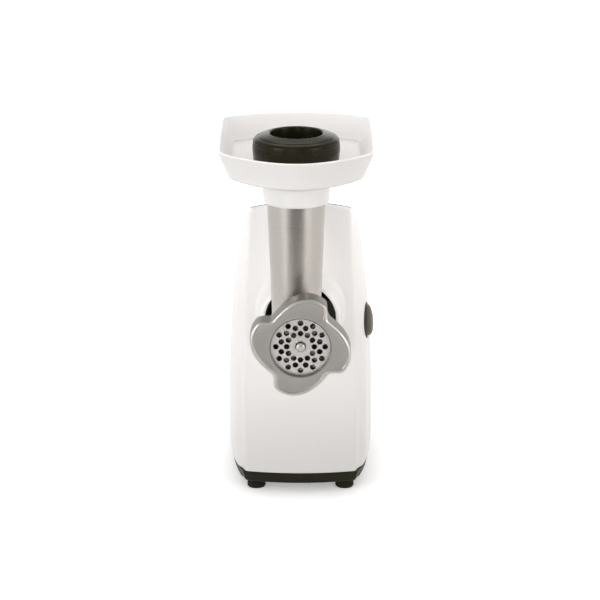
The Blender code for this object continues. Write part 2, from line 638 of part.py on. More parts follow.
rim_o = tray_outline(TRAY_HALF, (-166.258, -129.0), (13.0, -3.0), 0.6)
rim_i = tray_outline(TRAY_HALF - 2.2, (-163.8, -127.4), (10.8, -5.2), 0.6)
low_o = tray_outline(TRAY_BOTTOM_HALF, (-160.5, -121.5), (4.5, -11.0), 0.4)
low_m = tray_outline(TRAY_BOTTOM_HALF - 2.4, (-158.0, -119.5), (2.1, -13.4), 0.3)
flr_i = tray_outline(TRAY_BOTTOM_HALF - 3.2, (-157.2, -119.0), (1.4, -14.0), 0.3)
NT = len(rim_o)


def circ3(r, z):
    return [(TX + r * math.sin(2 * math.pi * k / NT), TY - r * math.cos(2 * math.pi * k / NT), z) for k in range(NT)]


LV = lambda pts, z: [(x, y, z) for x, y in pts]
rings_t = [circ3(24.1, COLLAR_Z0), circ3(COLLAR_R - 0.8, COLLAR_Z0), circ3(COLLAR_R, COLLAR_Z0 + 1.2), circ3(COLLAR_R, TRAY_Z0),
           LV(low_m, TRAY_Z0), LV(low_o, TRAY_Z0 + 2.2), LV(rim_o, TRAY_Z1), LV(rim_i, TRAY_Z1), LV(flr_i, TRAY_Z0 + 2.6),
           circ3(21.6, TRAY_Z0 + 2.6), circ3(21.6, TRAY_Z0), circ3(24.1, TRAY_Z0 - 0.4)]
verts = [p for rg in rings_t for p in rg]
faces = []
L = len(rings_t)
for i in range(L):
    for k in range(NT):
        a, b = i * NT, ((i + 1) % L) * NT
        faces.append([a + k, a + (k + 1) % NT, b + (k + 1) % NT, b + k])
make("feed_tray", verts, faces, TRAYM)

# ---- pusher: hollow stomper with a wide grip, closed at its foot
CAP_Z0 = TRAY_Z0 + 2.6 + GAP
turned("pusher", [(0, 200.0), (tube_in(205) - 1.6, 200.0), (tube_in(205) - 0.9, 201.5), (tube_in(275) - 0.8, 275.0), (tube_in(275) - 0.8, CAP_Z0),
                  (PUSHER_R - 1.0, CAP_Z0), (PUSHER_R, CAP_Z0 + 6.0), (PUSHER_R, CAP_Z0 + 14.0), (PUSHER_R - 0.9, PUSHER_Z1 - 5.6), (PUSHER_R - 3.2, PUSHER_Z1 - 3.0), (28.5, PUSHER_Z1 - 1.4), (22.4, PUSHER_Z1), (21.4, PUSHER_Z1 - 0.7),
                  (20.8, PUSHER_Z1 - 5.0), (18.4, 300.0), (tube_in(205) - 3.3, 203.0), (0, 203.0)], PUSHM, "Z", (TX, TY, 0), 28)

# ---- gearbox
CASE_R = 45.0
gearbox_housing = slab("gearbox_housing", [capsule(CASE_R, MOTOR_Z, AZ, 9, AX)], -4.0, 48.0, GEARCASE, "Y")
cut(gearbox_housing, slab("tmp_case", [capsule(CASE_R - 3.0, MOTOR_Z, AZ, 9, AX)], 0.0, 50.0, GEARCASE, "Y"))
add(gearbox_housing, turned("tmp_ob", [(0, -4.0), (16.0, -4.0), (16.0, 4.0), (0, 4.0)], GEARCASE, "Y", (AX, 0, AZ), 16))
add(gearbox_housing, turned("tmp_ib", [(0, -4.0), (9.0, -4.0), (9.0, 5.5), (0, 5.5)], GEARCASE, "Y", (AX, 0, IDLER_Z), 14))
cut(gearbox_housing, turned("tmp_oh", [(0, -9.0), (12.3, -9.0), (12.3, 9.0), (0, 9.0)], GEARCASE, "Y", (AX, 0, AZ), 16))
cut(gearbox_housing, turned("tmp_ih", [(0, -2.0), (6.3, -2.0), (6.3, 9.0), (0, 9.0)], GEARCASE, "Y", (AX, 0, IDLER_Z), 14))
BOLTS = ((AX + 33.0, MOTOR_Z + 27.0), (AX - 33.0, MOTOR_Z - 27.0))
gearbox_cover = slab("gearbox_cover", [capsule(CASE_R, MOTOR_Z, AZ, 9, AX), circle(8.4, 16, AX, MOTOR_Z)] + [circle(2.5, 8, x, z) for x, z in BOLTS], 48.3, 52.0, GEARCASE, "Y")
add(gearbox_cover, turned("tmp_cb", [(0, 44.5), (12.5, 44.5), (12.5, 50.0), (0, 50.0)], GEARCASE, "Y", (AX, 0, AZ), 16))
cut(gearbox_cover, turned("tmp_ch", [(0, 40.0), (10.3, 40.0), (10.3, 50.4), (0, 50.4)], GEARCASE, "Y", (AX, 0, AZ), 16))
cut(gearbox_cover, turned("tmp_ch2", [(0, 40.0), (6.3, 40.0), (6.3, 50.4), (0, 50.4)], GEARCASE, "Y", (AX, 0, IDLER_Z), 14))
turned("output_bush_front", [(8.3, -3.8), (12.0, -3.8), (12.0, 5.0), (8.3, 5.0)], BRONZE, "Y", (AX, 0, AZ), 16)
turned("output_bush_rear", [(7.3, 44.8), (10.0, 44.8), (10.0, 50.1), (7.3, 50.1)], BRONZE, "Y", (AX, 0, AZ), 16)
turned("idler_bush_front", [(4.3, -1.7), (6.0, -1.7), (6.0, 5.5), (4.3, 5.5)], BRONZE, "Y", (AX, 0, IDLER_Z), 14)
turned("idler_bush_rear", [(4.3, 45.6), (6.0, 45.6), (6.0, 50.1), (4.3, 50.1)], BRONZE, "Y", (AX, 0, IDLER_Z), 14)

slab("output_gear", [gear_outline(M2, N_OUT, 0.8, 0.28, -90.0, False, False), circle(8.4, 16)], 9.0, 23.0, NYLON, "Y", (AX, 0, AZ))
output_shaft = turned("output_shaft", [(0, -16.0), (11.0, -16.0), (12.0, -15.0), (12.0, -5.2), (8.0, -5.2), (8.0, 40.0), (7.0, 41.0), (7.0, 49.6), (0, 49.6)],
                      SHAFTM, "Y", (AX, 0, AZ), 16)
cut(output_shaft, slab("tmp_sock", [rounded(5.2, 5.2, 0.6, 1)], -18.0, -6.2, SHAFTM, "Y", (AX, 0, AZ)))

turned("idler_shaft", [(0, -1.4), (4.0, -1.4), (4.0, 49.6), (0, 49.6)], SHAFTM, "Y", (AX, 0, IDLER_Z), 12)
slab("idler_pinion", [gear_outline(M2, N_SMALL, 0.8, 0.28, 90.0, True), circle(4.4, 12)], 8.0, 24.0, GSTEEL, "Y", (AX, 0, IDLER_Z))
slab("idler_gear", [gear_outline(M1, N_IDLER, 0.8, 0.22, -90.0, False, False), circle(4.4, 12)], 30.0, 40.0, NYLON, "Y", (AX, 0, IDLER_Z))

slab("motor_pinion", [gear_outline(M1, N_MOTOR, 0.8, 0.22, 90.0, True), circle(3.4, 12)], 29.0, 41.0, GSTEEL, "Y", (AX, 0, MOTOR_Z))
turned("motor_shaft", [(0, 27.0), (3.0, 27.0), (3.0, 45.0), (4.0, 45.6), (4.0, 54.0), (5.0, 54.6), (5.0, 144.0), (4.0, 145.0), (4.0, 152.0), (0, 152.0)],
       SHAFTM, "Y", (AX, 0, MOTOR_Z), 12)
turned("motor_bearing_front", [(4.3, 47.0), (8.0, 47.0), (8.0, 52.0), (4.3, 52.0)], SHAFTM, "Y", (AX, 0, MOTOR_Z), 16)
turned("motor_bearing_rear", [(4.3, 145.8), (8.0, 145.8), (8.0, 150.8), (4.3, 150.8)], SHAFTM, "Y", (AX, 0, MOTOR_Z), 16)
# fan: hub disc with radial blades
fan_out = []
for q in range(9):
    b = 40.0 * q
    for r, d in ((12.0, -12), (29.0, -3.2), (29.0, 3.2), (12.0, 12)):
        t = math.radians(b + d)
        fan_out.append((r * math.cos(t), r * math.sin(t)))
slab("cooling_fan", [fan_out, circle(5.3, 12)], 55.5, 63.0, BLACK2, "Y", (AX, 0, MOTOR_Z))
# armature core with twelve winding slots
arm = []
for q in range(12):
    b = 30.0 * q
    for r, d in ((22.6, -11.5), (22.8, 0), (22.6, 11.5), (16.5, 12.5), (16.5, 17.5)):
        t = math.radians(b + d)
        arm.append((r * math.cos(t), r * math.sin(t)))
slab("armature_core", [arm, circle(5.3, 12)], 70.0, 120.0, LAMM, "Y", (AX, 0, MOTOR_Z))
com = []
for q in range(16):
    b = 22.5 * q
    for r, d in ((13.0, -9.0), (13.0, 9.0), (12.2, 10.0), (12.2, 12.5)):
        t = math.radians(b + d)
        com.append((r * math.cos(t), r * math.sin(t)))
slab("commutator", [com, circle(5.3, 12)], 129.0, 143.0, COMM, "Y", (AX, 0, MOTOR_Z))
# stator: laminated yoke, round bore between two poles, side windows for coils
bore = []
for a in range(35, 146, 10):
    bore.append((23.6 * math.cos(math.radians(a)), 23.6 * math.sin(math.radians(a))))
bore += [(-25.0, 13.5), (-25.0, 17.0), (-34.0, 17.0), (-34.0, -17.0), (-25.0, -17.0), (-25.0, -13.5)]
for a in range(215, 326, 10):
    bore.append((23.6 * math.cos(math.radians(a)), 23.6 * math.sin(math.radians(a))))
bore += [(25.0, -13.5), (25.0, -17.0), (34.0, -17.0), (34.0, 17.0), (25.0, 17.0), (25.0, 13.5)]
slab("stator_core", [rounded(42.0, 38.0, 8.0, 3), bore] + [circle(2.5, 8, x - AX, z - MOTOR_Z) for x, z in BOLTS], 70.0, 120.0, LAMM, "Y", (AX, 0, MOTOR_Z))
for nm, z0, z1 in (("field_coil_upper", 7.0, 16.4), ("field_coil_lower", -16.4, -7.0)):
    slab(nm, [rounded(33.5, 31.3, 4.0, 2, AX, 95.0), rounded(25.5, 25.4, 1.5, 2, AX, 95.0)], MOTOR_Z + z0, MOTOR_Z + z1, COILM, "Z")
rear_bracket = slab("rear_motor_bracket", [rounded(42.0, 30.0, 8.0, 3, AX, MOTOR_Z), circle(8.4, 16, AX, MOTOR_Z)] + [circle(2.5, 8, x, z) for x, z in BOLTS], 146.2, 150.2, GEARCASE, "Y")
for k, (x, z) in enumerate(BOLTS):
    turned("motor_bolt_%d" % (k + 1), [(0, 49.0), (2.0, 49.0), (2.0, 150.5), (4.0, 150.5), (4.0, 153.2), (0, 153.2)], SCREWM, "Y", (x, 0, z), 8)
for nm, s in (("left", -1), ("right", 1)):
    x0, x1 = AX + s * 13.4, AX + s * 29.0
    box("carbon_brush_" + nm, (min(x0, x1), 132.5, MOTOR_Z - 3.0), (max(x0, x1), 139.5, MOTOR_Z + 3.0), CARBON)
    x0, x1 = AX + s * 17.0, AX + s * 36.0
    hold = box("brush_holder_" + nm, (min(x0, x1), 130.4, MOTOR_Z - 5.2), (max(x0, x1), 145.9, MOTOR_Z + 5.2), BRASS)
    x2 = AX + s * 33.0
    x9 = AX + s * 12.0
    cut(hold, box("tmp_bh", (min(x9, x2), 132.1, MOTOR_Z - 3.4), (max(x9, x2), 139.9, MOTOR_Z + 3.4), BRASS))

# ---- switch: round cup in the side wall, rocker on two pivot pins
SX = WX - 1.0
switch_housing = turned("switch_housing", [(0, SX - 10.4), (SWITCH_R + 1.5, SX - 10.4), (SWITCH_R + 1.5, SX + 0.8), (SWITCH_R + 0.7, SX + 0.8), (SWITCH_R + 0.7, SX - 8.9), (0, SX - 8.9)],
                        BLACK, "X", (0, SWITCH_Y, SWITCH_Z), 32)
RX = SX - 4.0                  # rocker pivot
tilt = math.radians(5.0)
verts, faces = [], []
NR = 28
prof = [(13.3, -2.4), (13.7, 0.0), (13.9, 3.6), (13.7, 5.8), (12.4, 7.7), (9.6, 9.0), (5.5, 10.1)]
idx = []
for r, a in prof:
    idx.append(list(range(len(verts), len(verts) + NR)))
    for k in range(NR):
        t = 2 * math.pi * k / NR
        u, w = r * math.cos(t), r * math.sin(t)
        verts.append((a, u, w))
for a, b in zip(idx, idx[1:]):
    for k in range(NR):
        faces.append([a[k], a[(k + 1) % NR], b[(k + 1) % NR], b[k]])
faces.append(idx[0][::-1])
top = len(verts)
verts.append((10.6, 0.0, 0.0))
for k in range(NR):
    faces.append([idx[-1][k], idx[-1][(k + 1) % NR], top])
verts = [(RX + a * math.cos(-tilt) + w * math.sin(-tilt), SWITCH_Y + u, SWITCH_Z - a * math.sin(-tilt) + w * math.cos(-tilt)) for a, u, w in verts]
power_rocker = make("power_rocker", verts, faces, ROCKM)
add(power_rocker, turned("tmp_rp", [(0, -15.0), (1.5, -15.0), (1.5, 15.0), (0, 15.0)], ROCKM, "Y", (RX, SWITCH_Y, SWITCH_Z), 14))
cut(switch_housing, turned("tmp_rh", [(0, -15.2), (1.8, -15.2), (1.8, 15.2), (0, 15.2)], BLACK, "Y", (RX, SWITCH_Y, SWITCH_Z), 14))

# ---- cord inlet: flanged grommet in the rear wall, low down
turned("cord_inlet", [(3.6, 158.0), (6.0, 158.0), (6.0, BODY_BACK + GAP), (9.0, BODY_BACK + GAP), (8.4, BODY_BACK + 2.0), (3.6, BODY_BACK + 2.0)],
       BLACK, "Y", (AX, 0, 38.0), 16)

# ------------------------------------------------- origins on the joint axes
MOVERS = {
    "axis_armature": ((AX, 95.0, MOTOR_Z), ("motor_shaft", "armature_core", "commutator", "cooling_fan", "motor_pinion")),
    "axis_idler": ((AX, 24.0, IDLER_Z), ("idler_shaft", "idler_gear", "idler_pinion")),
    "axis_output": ((AX, 0.0, AZ), ("output_shaft", "output_gear", "auger", "knife")),
    "axis_head": ((AX, -60.0, AZ), ("grinder_head",)),
    "axis_plate": ((AX, PLATE_BACK, AZ), ("grinding_plate", "ring_nut")),
    "axis_feed": ((TX, TY, TRAY_Z0), ("feed_tray", "pusher")),
    "axis_rocker": ((RX, SWITCH_Y, SWITCH_Z), ("power_rocker",)),
}
for nm, (loc, obs) in MOVERS.items():
    e = bpy.data.objects.new(nm, None)
    e.location = Vector(loc) * MM
    bpy.context.scene.collection.objects.link(e)
    for o in obs:
        ob = bpy.data.objects[o]
        for v in ob.data.vertices:
            v.co -= e.location
        ob.parent = e
bpy.context.view_layer.update()
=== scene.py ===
import math

import bmesh
import bpy
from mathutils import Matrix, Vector

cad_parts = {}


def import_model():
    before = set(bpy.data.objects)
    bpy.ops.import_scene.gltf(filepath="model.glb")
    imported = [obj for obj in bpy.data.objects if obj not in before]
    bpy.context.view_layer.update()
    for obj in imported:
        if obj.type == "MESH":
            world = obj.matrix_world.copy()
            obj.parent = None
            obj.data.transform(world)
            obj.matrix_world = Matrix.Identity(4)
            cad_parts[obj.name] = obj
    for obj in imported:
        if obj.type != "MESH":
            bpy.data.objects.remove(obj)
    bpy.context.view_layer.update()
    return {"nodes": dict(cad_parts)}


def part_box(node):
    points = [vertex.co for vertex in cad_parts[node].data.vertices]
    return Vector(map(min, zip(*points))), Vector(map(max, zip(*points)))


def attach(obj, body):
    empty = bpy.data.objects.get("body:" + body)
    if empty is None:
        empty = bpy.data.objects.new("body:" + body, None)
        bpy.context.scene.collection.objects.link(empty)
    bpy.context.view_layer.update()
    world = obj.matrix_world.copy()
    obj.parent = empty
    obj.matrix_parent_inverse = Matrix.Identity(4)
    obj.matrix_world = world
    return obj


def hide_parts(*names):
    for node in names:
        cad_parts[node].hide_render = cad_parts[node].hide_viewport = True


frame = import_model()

MM = 0.001
NODES = frame["nodes"]

# ------------------------------------------------------------- key places (mm)
_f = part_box("pusher")
TX = (_f[0].x + _f[1].x) / 2 / MM
AX = TX + 3.4
AZ, TY = 165.0, -76.0
BODY_Z0, BODY_FRONT, BODY_CROWN, BODY_SEAM, BODY_BACK = 18.5, -19.0, 6.0, 4.0, 164.0
TOP_CROWN = 5.9
WALL = 2.5

# ==================================================================== helpers
def obj(name, verts, faces, mat, angle=35.0, scale=MM):
    me = bpy.data.meshes.new(name)
    me.from_pydata([(x * scale, y * scale, z * scale) for x, y, z in verts], [], faces)
    bm = bmesh.new()
    bm.from_mesh(me)
    bmesh.ops.remove_doubles(bm, verts=bm.verts, dist=1e-7)
    bmesh.ops.recalc_face_normals(bm, faces=bm.faces)
    bm.to_mesh(me)
    bm.free()
    ob = bpy.data.objects.new(name, me)
    bpy.context.scene.collection.objects.link(ob)
    me.materials.append(mat)
    me.shade_smooth()
    if angle:
        me.set_sharp_from_angle(angle=math.radians(angle))
    return ob


def at(axis, c, r, a, t):
    u, v = r * math.cos(t), r * math.sin(t)
    if axis == "X":
        return (c[0] + a, c[1] + u, c[2] + v)
    if axis == "Y":
        return (c[0] + u, c[1] + a, c[2] + v)
    return (c[0] + u, c[1] + v, c[2] + a)


def fillet(pts, n=5):
    """Polyline (r, a, radius) with each corner turned into an arc."""
    out = []
    m = len(pts)
    for i, p in enumerate(pts):
        r = p[2] if len(p) > 2 else 0
        if r <= 0 or i in (0, m - 1):
            out.append((p[0], p[1]))
            continue
        a, b, c = Vector(pts[i - 1][:2]), Vector(p[:2]), Vector(pts[i + 1][:2])
        u, v = (a - b), (c - b)
        lu, lv = u.length, v.length
        u.normalize(); v.normalize()
        ang = u.angle(v)
        d = min(r / math.tan(ang / 2), lu * 0.49, lv * 0.49)
        rr = d * math.tan(ang / 2)
        bis = (u + v).normalized()
        cen = b + bis * (rr / math.sin(ang / 2))
        s, e = b + u * d - cen, b + v * d - cen
        a0, a1 = math.atan2(s.y, s.x), math.atan2(e.y, e.x)
        da = (a1 - a0 + math.pi) % (2 * math.pi) - math.pi
        for k in range(n + 1):
            t = a0 + da * k / n
            out.append((cen.x + rr * math.cos(t), cen.y + rr * math.sin(t)))
    return out


def turned(name, prof, mat, axis="Z", c=(0, 0, 0), n=96, angle=35.0, seg=5, closed=None):
    prof = fillet(prof, seg)
    verts, rings = [], []
    for r, a in prof:
        if abs(r) < 1e-6:
            rings.append([len(verts)] * n)
            verts.append(at(axis, c, 0, a, 0))
        else:
            rings.append(list(range(len(verts), len(verts) + n)))
            verts += [at(axis, c, r, a, 2 * math.pi * k / n) for k in range(n)]
    closed = prof[0][0] > 1e-6 if closed is None else closed
    faces = []
    m = len(rings)
    for i in range(m if closed else m - 1):
        a, b = rings[i], rings[(i + 1) % m]
        for k in range(n):
            f = []
            for v in (a[k], a[(k + 1) % n], b[(k + 1) % n], b[k]):
                if v not in f:
                    f.append(v)
            if len(f) > 2:
                faces.append(f)
    return obj(name, verts, faces, mat, angle)


def stack(name, rings, mat, angle=35.0, closed=True):
    """Closed loops of equal length joined one to the next."""
    n = len(rings[0])
    verts = [p for r in rings for p in r]
    faces = []
    m = len(rings)
    for i in range(m if closed else m - 1):
        for k in range(n):
            a, b = i * n, ((i + 1) % m) * n
            faces.append([a + k, a + (k + 1) % n, b + (k + 1) % n, b + k])
    if not closed:
        faces.append(list(range(n)))
        faces.append(list(range((m - 1) * n, m * n))[::-1])
    return obj(name, verts, faces, mat, angle)


def combine(ob, tool, op, angle=35.0):
    md = ob.modifiers.new("b", 'BOOLEAN')
    md.operation = op
    md.solver = 'EXACT'
    md.object = tool
    dg = bpy.context.evaluated_depsgraph_get()
    me = bpy.data.meshes.new_from_object(ob.evaluated_get(dg), depsgraph=dg)
    ob.modifiers.clear()
    ob.data = me
    bpy.data.objects.remove(tool, do_unlink=True)
    me.shade_smooth()
    me.set_sharp_from_angle(angle=math.radians(angle))
    return ob


def spline(tab, x):
    """Smooth curve through a table (Catmull-Rom on uneven steps)."""
    if x <= tab[0][0]:
        return tab[0][1]
    if x >= tab[-1][0]:
        return tab[-1][1]
    for i in range(len(tab) - 1):
        if x <= tab[i + 1][0]:
            x0, y0 = tab[i]
            x1, y1 = tab[i + 1]
            h = x1 - x0

            def slope(k):
                if k <= 0:
                    return (tab[1][1] - tab[0][1]) / (tab[1][0] - tab[0][0])
                if k >= len(tab) - 1:
                    return (tab[-1][1] - tab[-2][1]) / (tab[-1][0] - tab[-2][0])
                return (tab[k + 1][1] - tab[k - 1][1]) / (tab[k + 1][0] - tab[k - 1][0])
            m0, m1 = slope(i) * h, slope(i + 1) * h
            t = (x - x0) / h
            return ((2 * t ** 3 - 3 * t ** 2 + 1) * y0 + (t ** 3 - 2 * t ** 2 + t) * m0
                    + (-2 * t ** 3 + 3 * t ** 2) * y1 + (t ** 3 - t ** 2) * m1)
    return tab[-1][1]


# ================================================================== materials
class Nodes:
    def __init__(self, name):
        self.m = bpy.data.materials.new(name)
        self.m.use_nodes = True
        self.t = self.m.node_tree
        self.b = self.t.nodes["Principled BSDF"]
        self.co = self.t.nodes.new("ShaderNodeTexCoord")

    def new(self, kind, **kw):
        n = self.t.nodes.new(kind)
        for k, v in kw.items():
            if hasattr(n, k):
                setattr(n, k, v)
            else:
                n.inputs[k.replace("_", " ")].default_value = v
        return n

    def link(self, a, b):
        self.t.links.new(a, b)

    def noise(self, scale, detail=4.0, rough=0.55, stretch=None, dist=0.0):
        n = self.new("ShaderNodeTexNoise")
        n.inputs["Scale"].default_value = scale
        n.inputs["Detail"].default_value = detail
        n.inputs["Roughness"].default_value = rough
        n.inputs["Distortion"].default_value = dist
        if stretch:
            mp = self.new("ShaderNodeMapping")
            mp.inputs["Scale"].default_value = stretch
            self.link(self.co.outputs["Object"], mp.inputs["Vector"])
            self.link(mp.outputs["Vector"], n.inputs["Vector"])
        else:
            self.link(self.co.outputs["Object"], n.inputs["Vector"])
        return n.outputs["Fac"]

    def ramp(self, fac, stops):
        r = self.new("ShaderNodeValToRGB")
        el = r.color_ramp.elements
        el[0].position, el[0].color = stops[0][0], (*stops[0][1], 1)
        el[1].position, el[1].color = stops[-1][0], (*stops[-1][1], 1)
        for p, c in stops[1:-1]:
            e = el.new(p)
            e.color = (*c, 1)
        self.link(fac, r.inputs["Fac"])
        return r.outputs["Color"]

    def remap(self, fac, lo, hi, a=0.3, b=0.7):
        r = self.new("ShaderNodeMapRange")
        r.inputs["From Min"].default_value = a
        r.inputs["From Max"].default_value = b
        r.inputs["To Min"].default_value = lo
        r.inputs["To Max"].default_value = hi
        self.link(fac, r.inputs["Value"])
        return r.outputs["Result"]

    def math(self, op, a, b):
        n = self.new("ShaderNodeMath")
        n.operation = op
        for i, v in enumerate((a, b)):
            if isinstance(v, (int, float)):
                n.inputs[i].default_value = v
            else:
                self.link(v, n.inputs[i])
        return n.outputs[0]

    def mix(self, fac, a, b):
        n = self.new("ShaderNodeMix")
        n.data_type = 'RGBA'
        self.link(fac, n.inputs[0])
        for i, v in ((6, a), (7, b)):
            if isinstance(v, tuple):
                n.inputs[i].default_value = (*v, 1)
            else:
                self.link(v, n.inputs[i])
        return n.outputs[2]

    def bump(self, height, strength, dist, prev=None):
        n = self.new("ShaderNodeBump")
        n.inputs["Strength"].default_value = strength
        n.inputs["Distance"].default_value = dist
        self.link(height, n.inputs["Height"])
        if prev is not None:
            self.link(prev, n.inputs["Normal"])
        return n.outputs["Normal"]

    def edges(self, lo=0.51, hi=0.56):
        g = self.new("ShaderNodeNewGeometry")
        return self.remap(g.outputs["Pointiness"], 0.0, 1.0, lo, hi)

    def out(self, colour=None, rough=None, normal=None, **kw):
        for sock, v in (("Base Color", colour), ("Roughness", rough), ("Normal", normal)):
            if v is not None:
                self.link(v, self.b.inputs[sock])
        for k, v in kw.items():
            self.b.inputs[k.replace("_", " ")].default_value = v
        return self.m


def shade(c, k):
    return tuple(min(1.0, x * k) for x in c)


def plastic(name, colour, rough, grain=0.02, spread=0.03, scuff=0.06, coat=0.0, sss=0.0, spec=0.5, tint=None):
    """Moulded plastic: slow colour drift, fine spark-eroded grain, paler rubbed
    edges and faint fine scuffs."""
    n = Nodes(name)
    big = n.noise(9.0, 2.0)
    col = n.ramp(big, [(0.30, shade(colour, 1 - spread)), (0.70, shade(colour, 1 + spread))])
    e = n.edges()
    col = n.mix(n.math('MULTIPLY', e, 0.35), col, shade(colour, 1.0 + 3 * spread))
    rub = n.noise(150.0, 2.0, 0.45)
    rg = n.remap(rub, rough - scuff * 0.35, rough + scuff * 0.65, 0.2, 0.8)
    bp = n.bump(n.noise(900.0, 2.0, 0.5), grain, 0.00003)
    bp = n.bump(n.noise(28.0, 1.0, 0.4), 0.03, 0.0004, bp)
    kw = dict(IOR=1.48, Specular_IOR_Level=spec)
    if coat:
        kw["Coat_Weight"] = coat
        kw["Coat_Roughness"] = 0.12
    if tint:
        kw["Specular_Tint"] = (*tint, 1.0)
    if sss:
        kw["Subsurface_Weight"] = sss
        kw["Subsurface_Scale"] = 0.004
        kw["Subsurface_Radius"] = (1.0, 0.95, 0.9)
    return n.out(col, rg, bp, **kw)


def metal(name, colour, rough, stretch=None, lines=600.0, depth=0.15, spread=0.06, cast=0.0, aniso=0.0, edge_wear_highlight=0.25):
    n = Nodes(name)
    big = n.noise(18.0, 4.0, 0.6)
    a = n.noise(lines, 4.0, 0.65, stretch)
    mixf = n.math('ADD', n.math('MULTIPLY', big, 0.5), n.math('MULTIPLY', a, 0.5))
    col = n.ramp(mixf, [(0.32, shade(colour, 1 - spread)), (0.68, shade(colour, 1 + spread))])
    e = n.edges()
    # pointiness lightens convex edges: partly edge wear, partly painted highlight
    col = n.mix(n.math('MULTIPLY', e, edge_wear_highlight), col, shade(colour, 1.35))
    rg = n.remap(a, rough - 0.04, rough + 0.08)
    bp = n.bump(a, depth, 0.00005)
    if cast:
        bp = n.bump(n.noise(900.0, 3.0, 0.7), cast, 0.0001, bp)
    kw = dict(Metallic=1.0)
    if aniso:
        kw["Anisotropic"] = aniso
    return n.out(col, rg, bp, **kw)


WHITE = plastic("housing_white_plastic", (0.82, 0.802, 0.792), 0.36, 0.012, 0.010, scuff=0.05, coat=0.2)
TRAYM = plastic("tray_white_plastic", (0.85, 0.835, 0.825), 0.34, 0.008, 0.010, scuff=0.04, sss=0.5)
BLACK = plastic("base_black_plastic", (0.010, 0.0095, 0.0045), 0.45, 0.04, 0.12, spec=0.18, tint=(1.0, 0.97, 0.85))
PUSHM = plastic("pusher_black_plastic", (0.010, 0.009, 0.003), 0.27, 0.010, 0.10, scuff=0.02, spec=0.22, tint=(1.0, 0.96, 0.80))
SOCKM = plastic("socket_black_plastic", (0.006, 0.006, 0.005), 0.55, 0.05, 0.12)
ROCKM = plastic("rocker_grey_plastic", (0.085, 0.078, 0.050), 0.42, 0.04, 0.08)
SWM = plastic("switch_cup_black_plastic", (0.03, 0.029, 0.02), 0.45, 0.04, 0.1)
FOOTM = plastic("foot_black_rubber", (0.014, 0.014, 0.009), 0.78, 0.09, 0.15, spec=0.2)
# dark grey for the strip along the panel's top edge: painted shadow gap
SEAM_SHADOW_M = plastic("seam_painted_shadow", (0.13, 0.125, 0.12), 0.6, 0.03, 0.08)
TUBEM = metal("head_brushed_aluminium", (0.41, 0.386, 0.360), 0.30, (1.0, 1.0, 12.0), 380.0, 0.012, 0.11, cast=0.01, edge_wear_highlight=0.1)
# strong edge lightening on the nut: painted highlight along its bead
NUTM = metal("nut_satin_cast_metal", (0.385, 0.37, 0.35), 0.38, None, 500.0, 0.06, 0.06, cast=0.10, edge_wear_highlight=0.75)
PLATEM = metal("plate_ground_steel", (0.60, 0.585, 0.565), 0.38, (1.0, 1.0, 6.0), 500.0, 0.05, 0.04, edge_wear_highlight=0.1)
# darker, rougher copy of the nut metal for the nut's side faces: painted shade
NUT_SIDE_SHADE_M = metal("nut_side_painted_shade", (0.275, 0.265, 0.245), 0.52, None, 500.0, 0.08, 0.08, cast=0.15)
# lighter copy of the nut metal for the outward-facing rim fillet: painted highlight
NUT_RIM_HIGHLIGHT_M = metal("nut_rim_painted_highlight", (0.43, 0.415, 0.39), 0.40, None, 500.0, 0.04, 0.05, cast=0.03)
# dark metal for hole walls in the plate and the nut's aperture: painted shade inside the holes
HOLE_SHADE_M = metal("hole_wall_painted_shade", (0.14, 0.135, 0.125), 0.55, (1.0, 6.0, 1.0), 700.0, 0.06, 0.10)
KNIFEM = metal("knife_ground_steel", (0.50, 0.50, 0.49), 0.44, (6.0, 1.0, 1.0), 500.0, 0.06, 0.05)
AUGERM = metal("auger_cast_metal", (0.44, 0.43, 0.41), 0.46, None, 400.0, 0.08, 0.08, cast=0.15)
CASEM = metal("gearcase_diecast", (0.46, 0.46, 0.46), 0.55, None, 300.0, 0.12, 0.10, cast=0.4)
SHAFTM = metal("shaft_ground_steel", (0.58, 0.58, 0.60), 0.34, (1.0, 8.0, 1.0), 700.0, 0.08, 0.05)
GEARM = metal("pinion_sintered_steel", (0.40, 0.40, 0.41), 0.42, None, 900.0, 0.2, 0.10, cast=0.3)
BRONZEM = metal("bush_sintered_bronze", (0.52, 0.37, 0.18), 0.45, None, 900.0, 0.2, 0.10, cast=0.3)
BRASSM = metal("holder_stamped_brass", (0.66, 0.50, 0.22), 0.32, (1.0, 6.0, 1.0), 500.0, 0.08, 0.06)
COMM = metal("commutator_turned_copper", (0.62, 0.33, 0.17), 0.32, (1.0, 10.0, 1.0), 800.0, 0.15, 0.10)
SCREWM = metal("screw_zinc_plate", (0.60, 0.61, 0.63), 0.34, None, 900.0, 0.12, 0.06)
NYLONM = plastic("gear_nylon", (0.70, 0.67, 0.56), 0.48, 0.03, 0.05, sss=0.1)
CARBM = plastic("brush_carbon", (0.03, 0.03, 0.03), 0.8, 0.12, 0.2)


def laminated(name, colour):
    n = Nodes(name)
    w = n.new("ShaderNodeTexWave")
    w.wave_type = 'BANDS'
    w.bands_direction = 'Y'
    w.inputs["Scale"].default_value = 320.0
    w.inputs["Distortion"].default_value = 0.3
    n.link(n.co.outputs["Object"], w.inputs["Vector"])
    col = n.ramp(w.outputs["Fac"], [(0.1, shade(colour, 0.7)), (0.9, shade(colour, 1.2))])
    col = n.mix(n.remap(n.noise(60.0, 5.0, 0.7), 0.0, 0.35, 0.5, 0.75), col, (0.20, 0.12, 0.07))
    return n.out(col, n.remap(n.noise(200.0, 4.0), 0.45, 0.7), n.bump(w.outputs["Fac"], 0.4, 0.0002), Metallic=0.85)


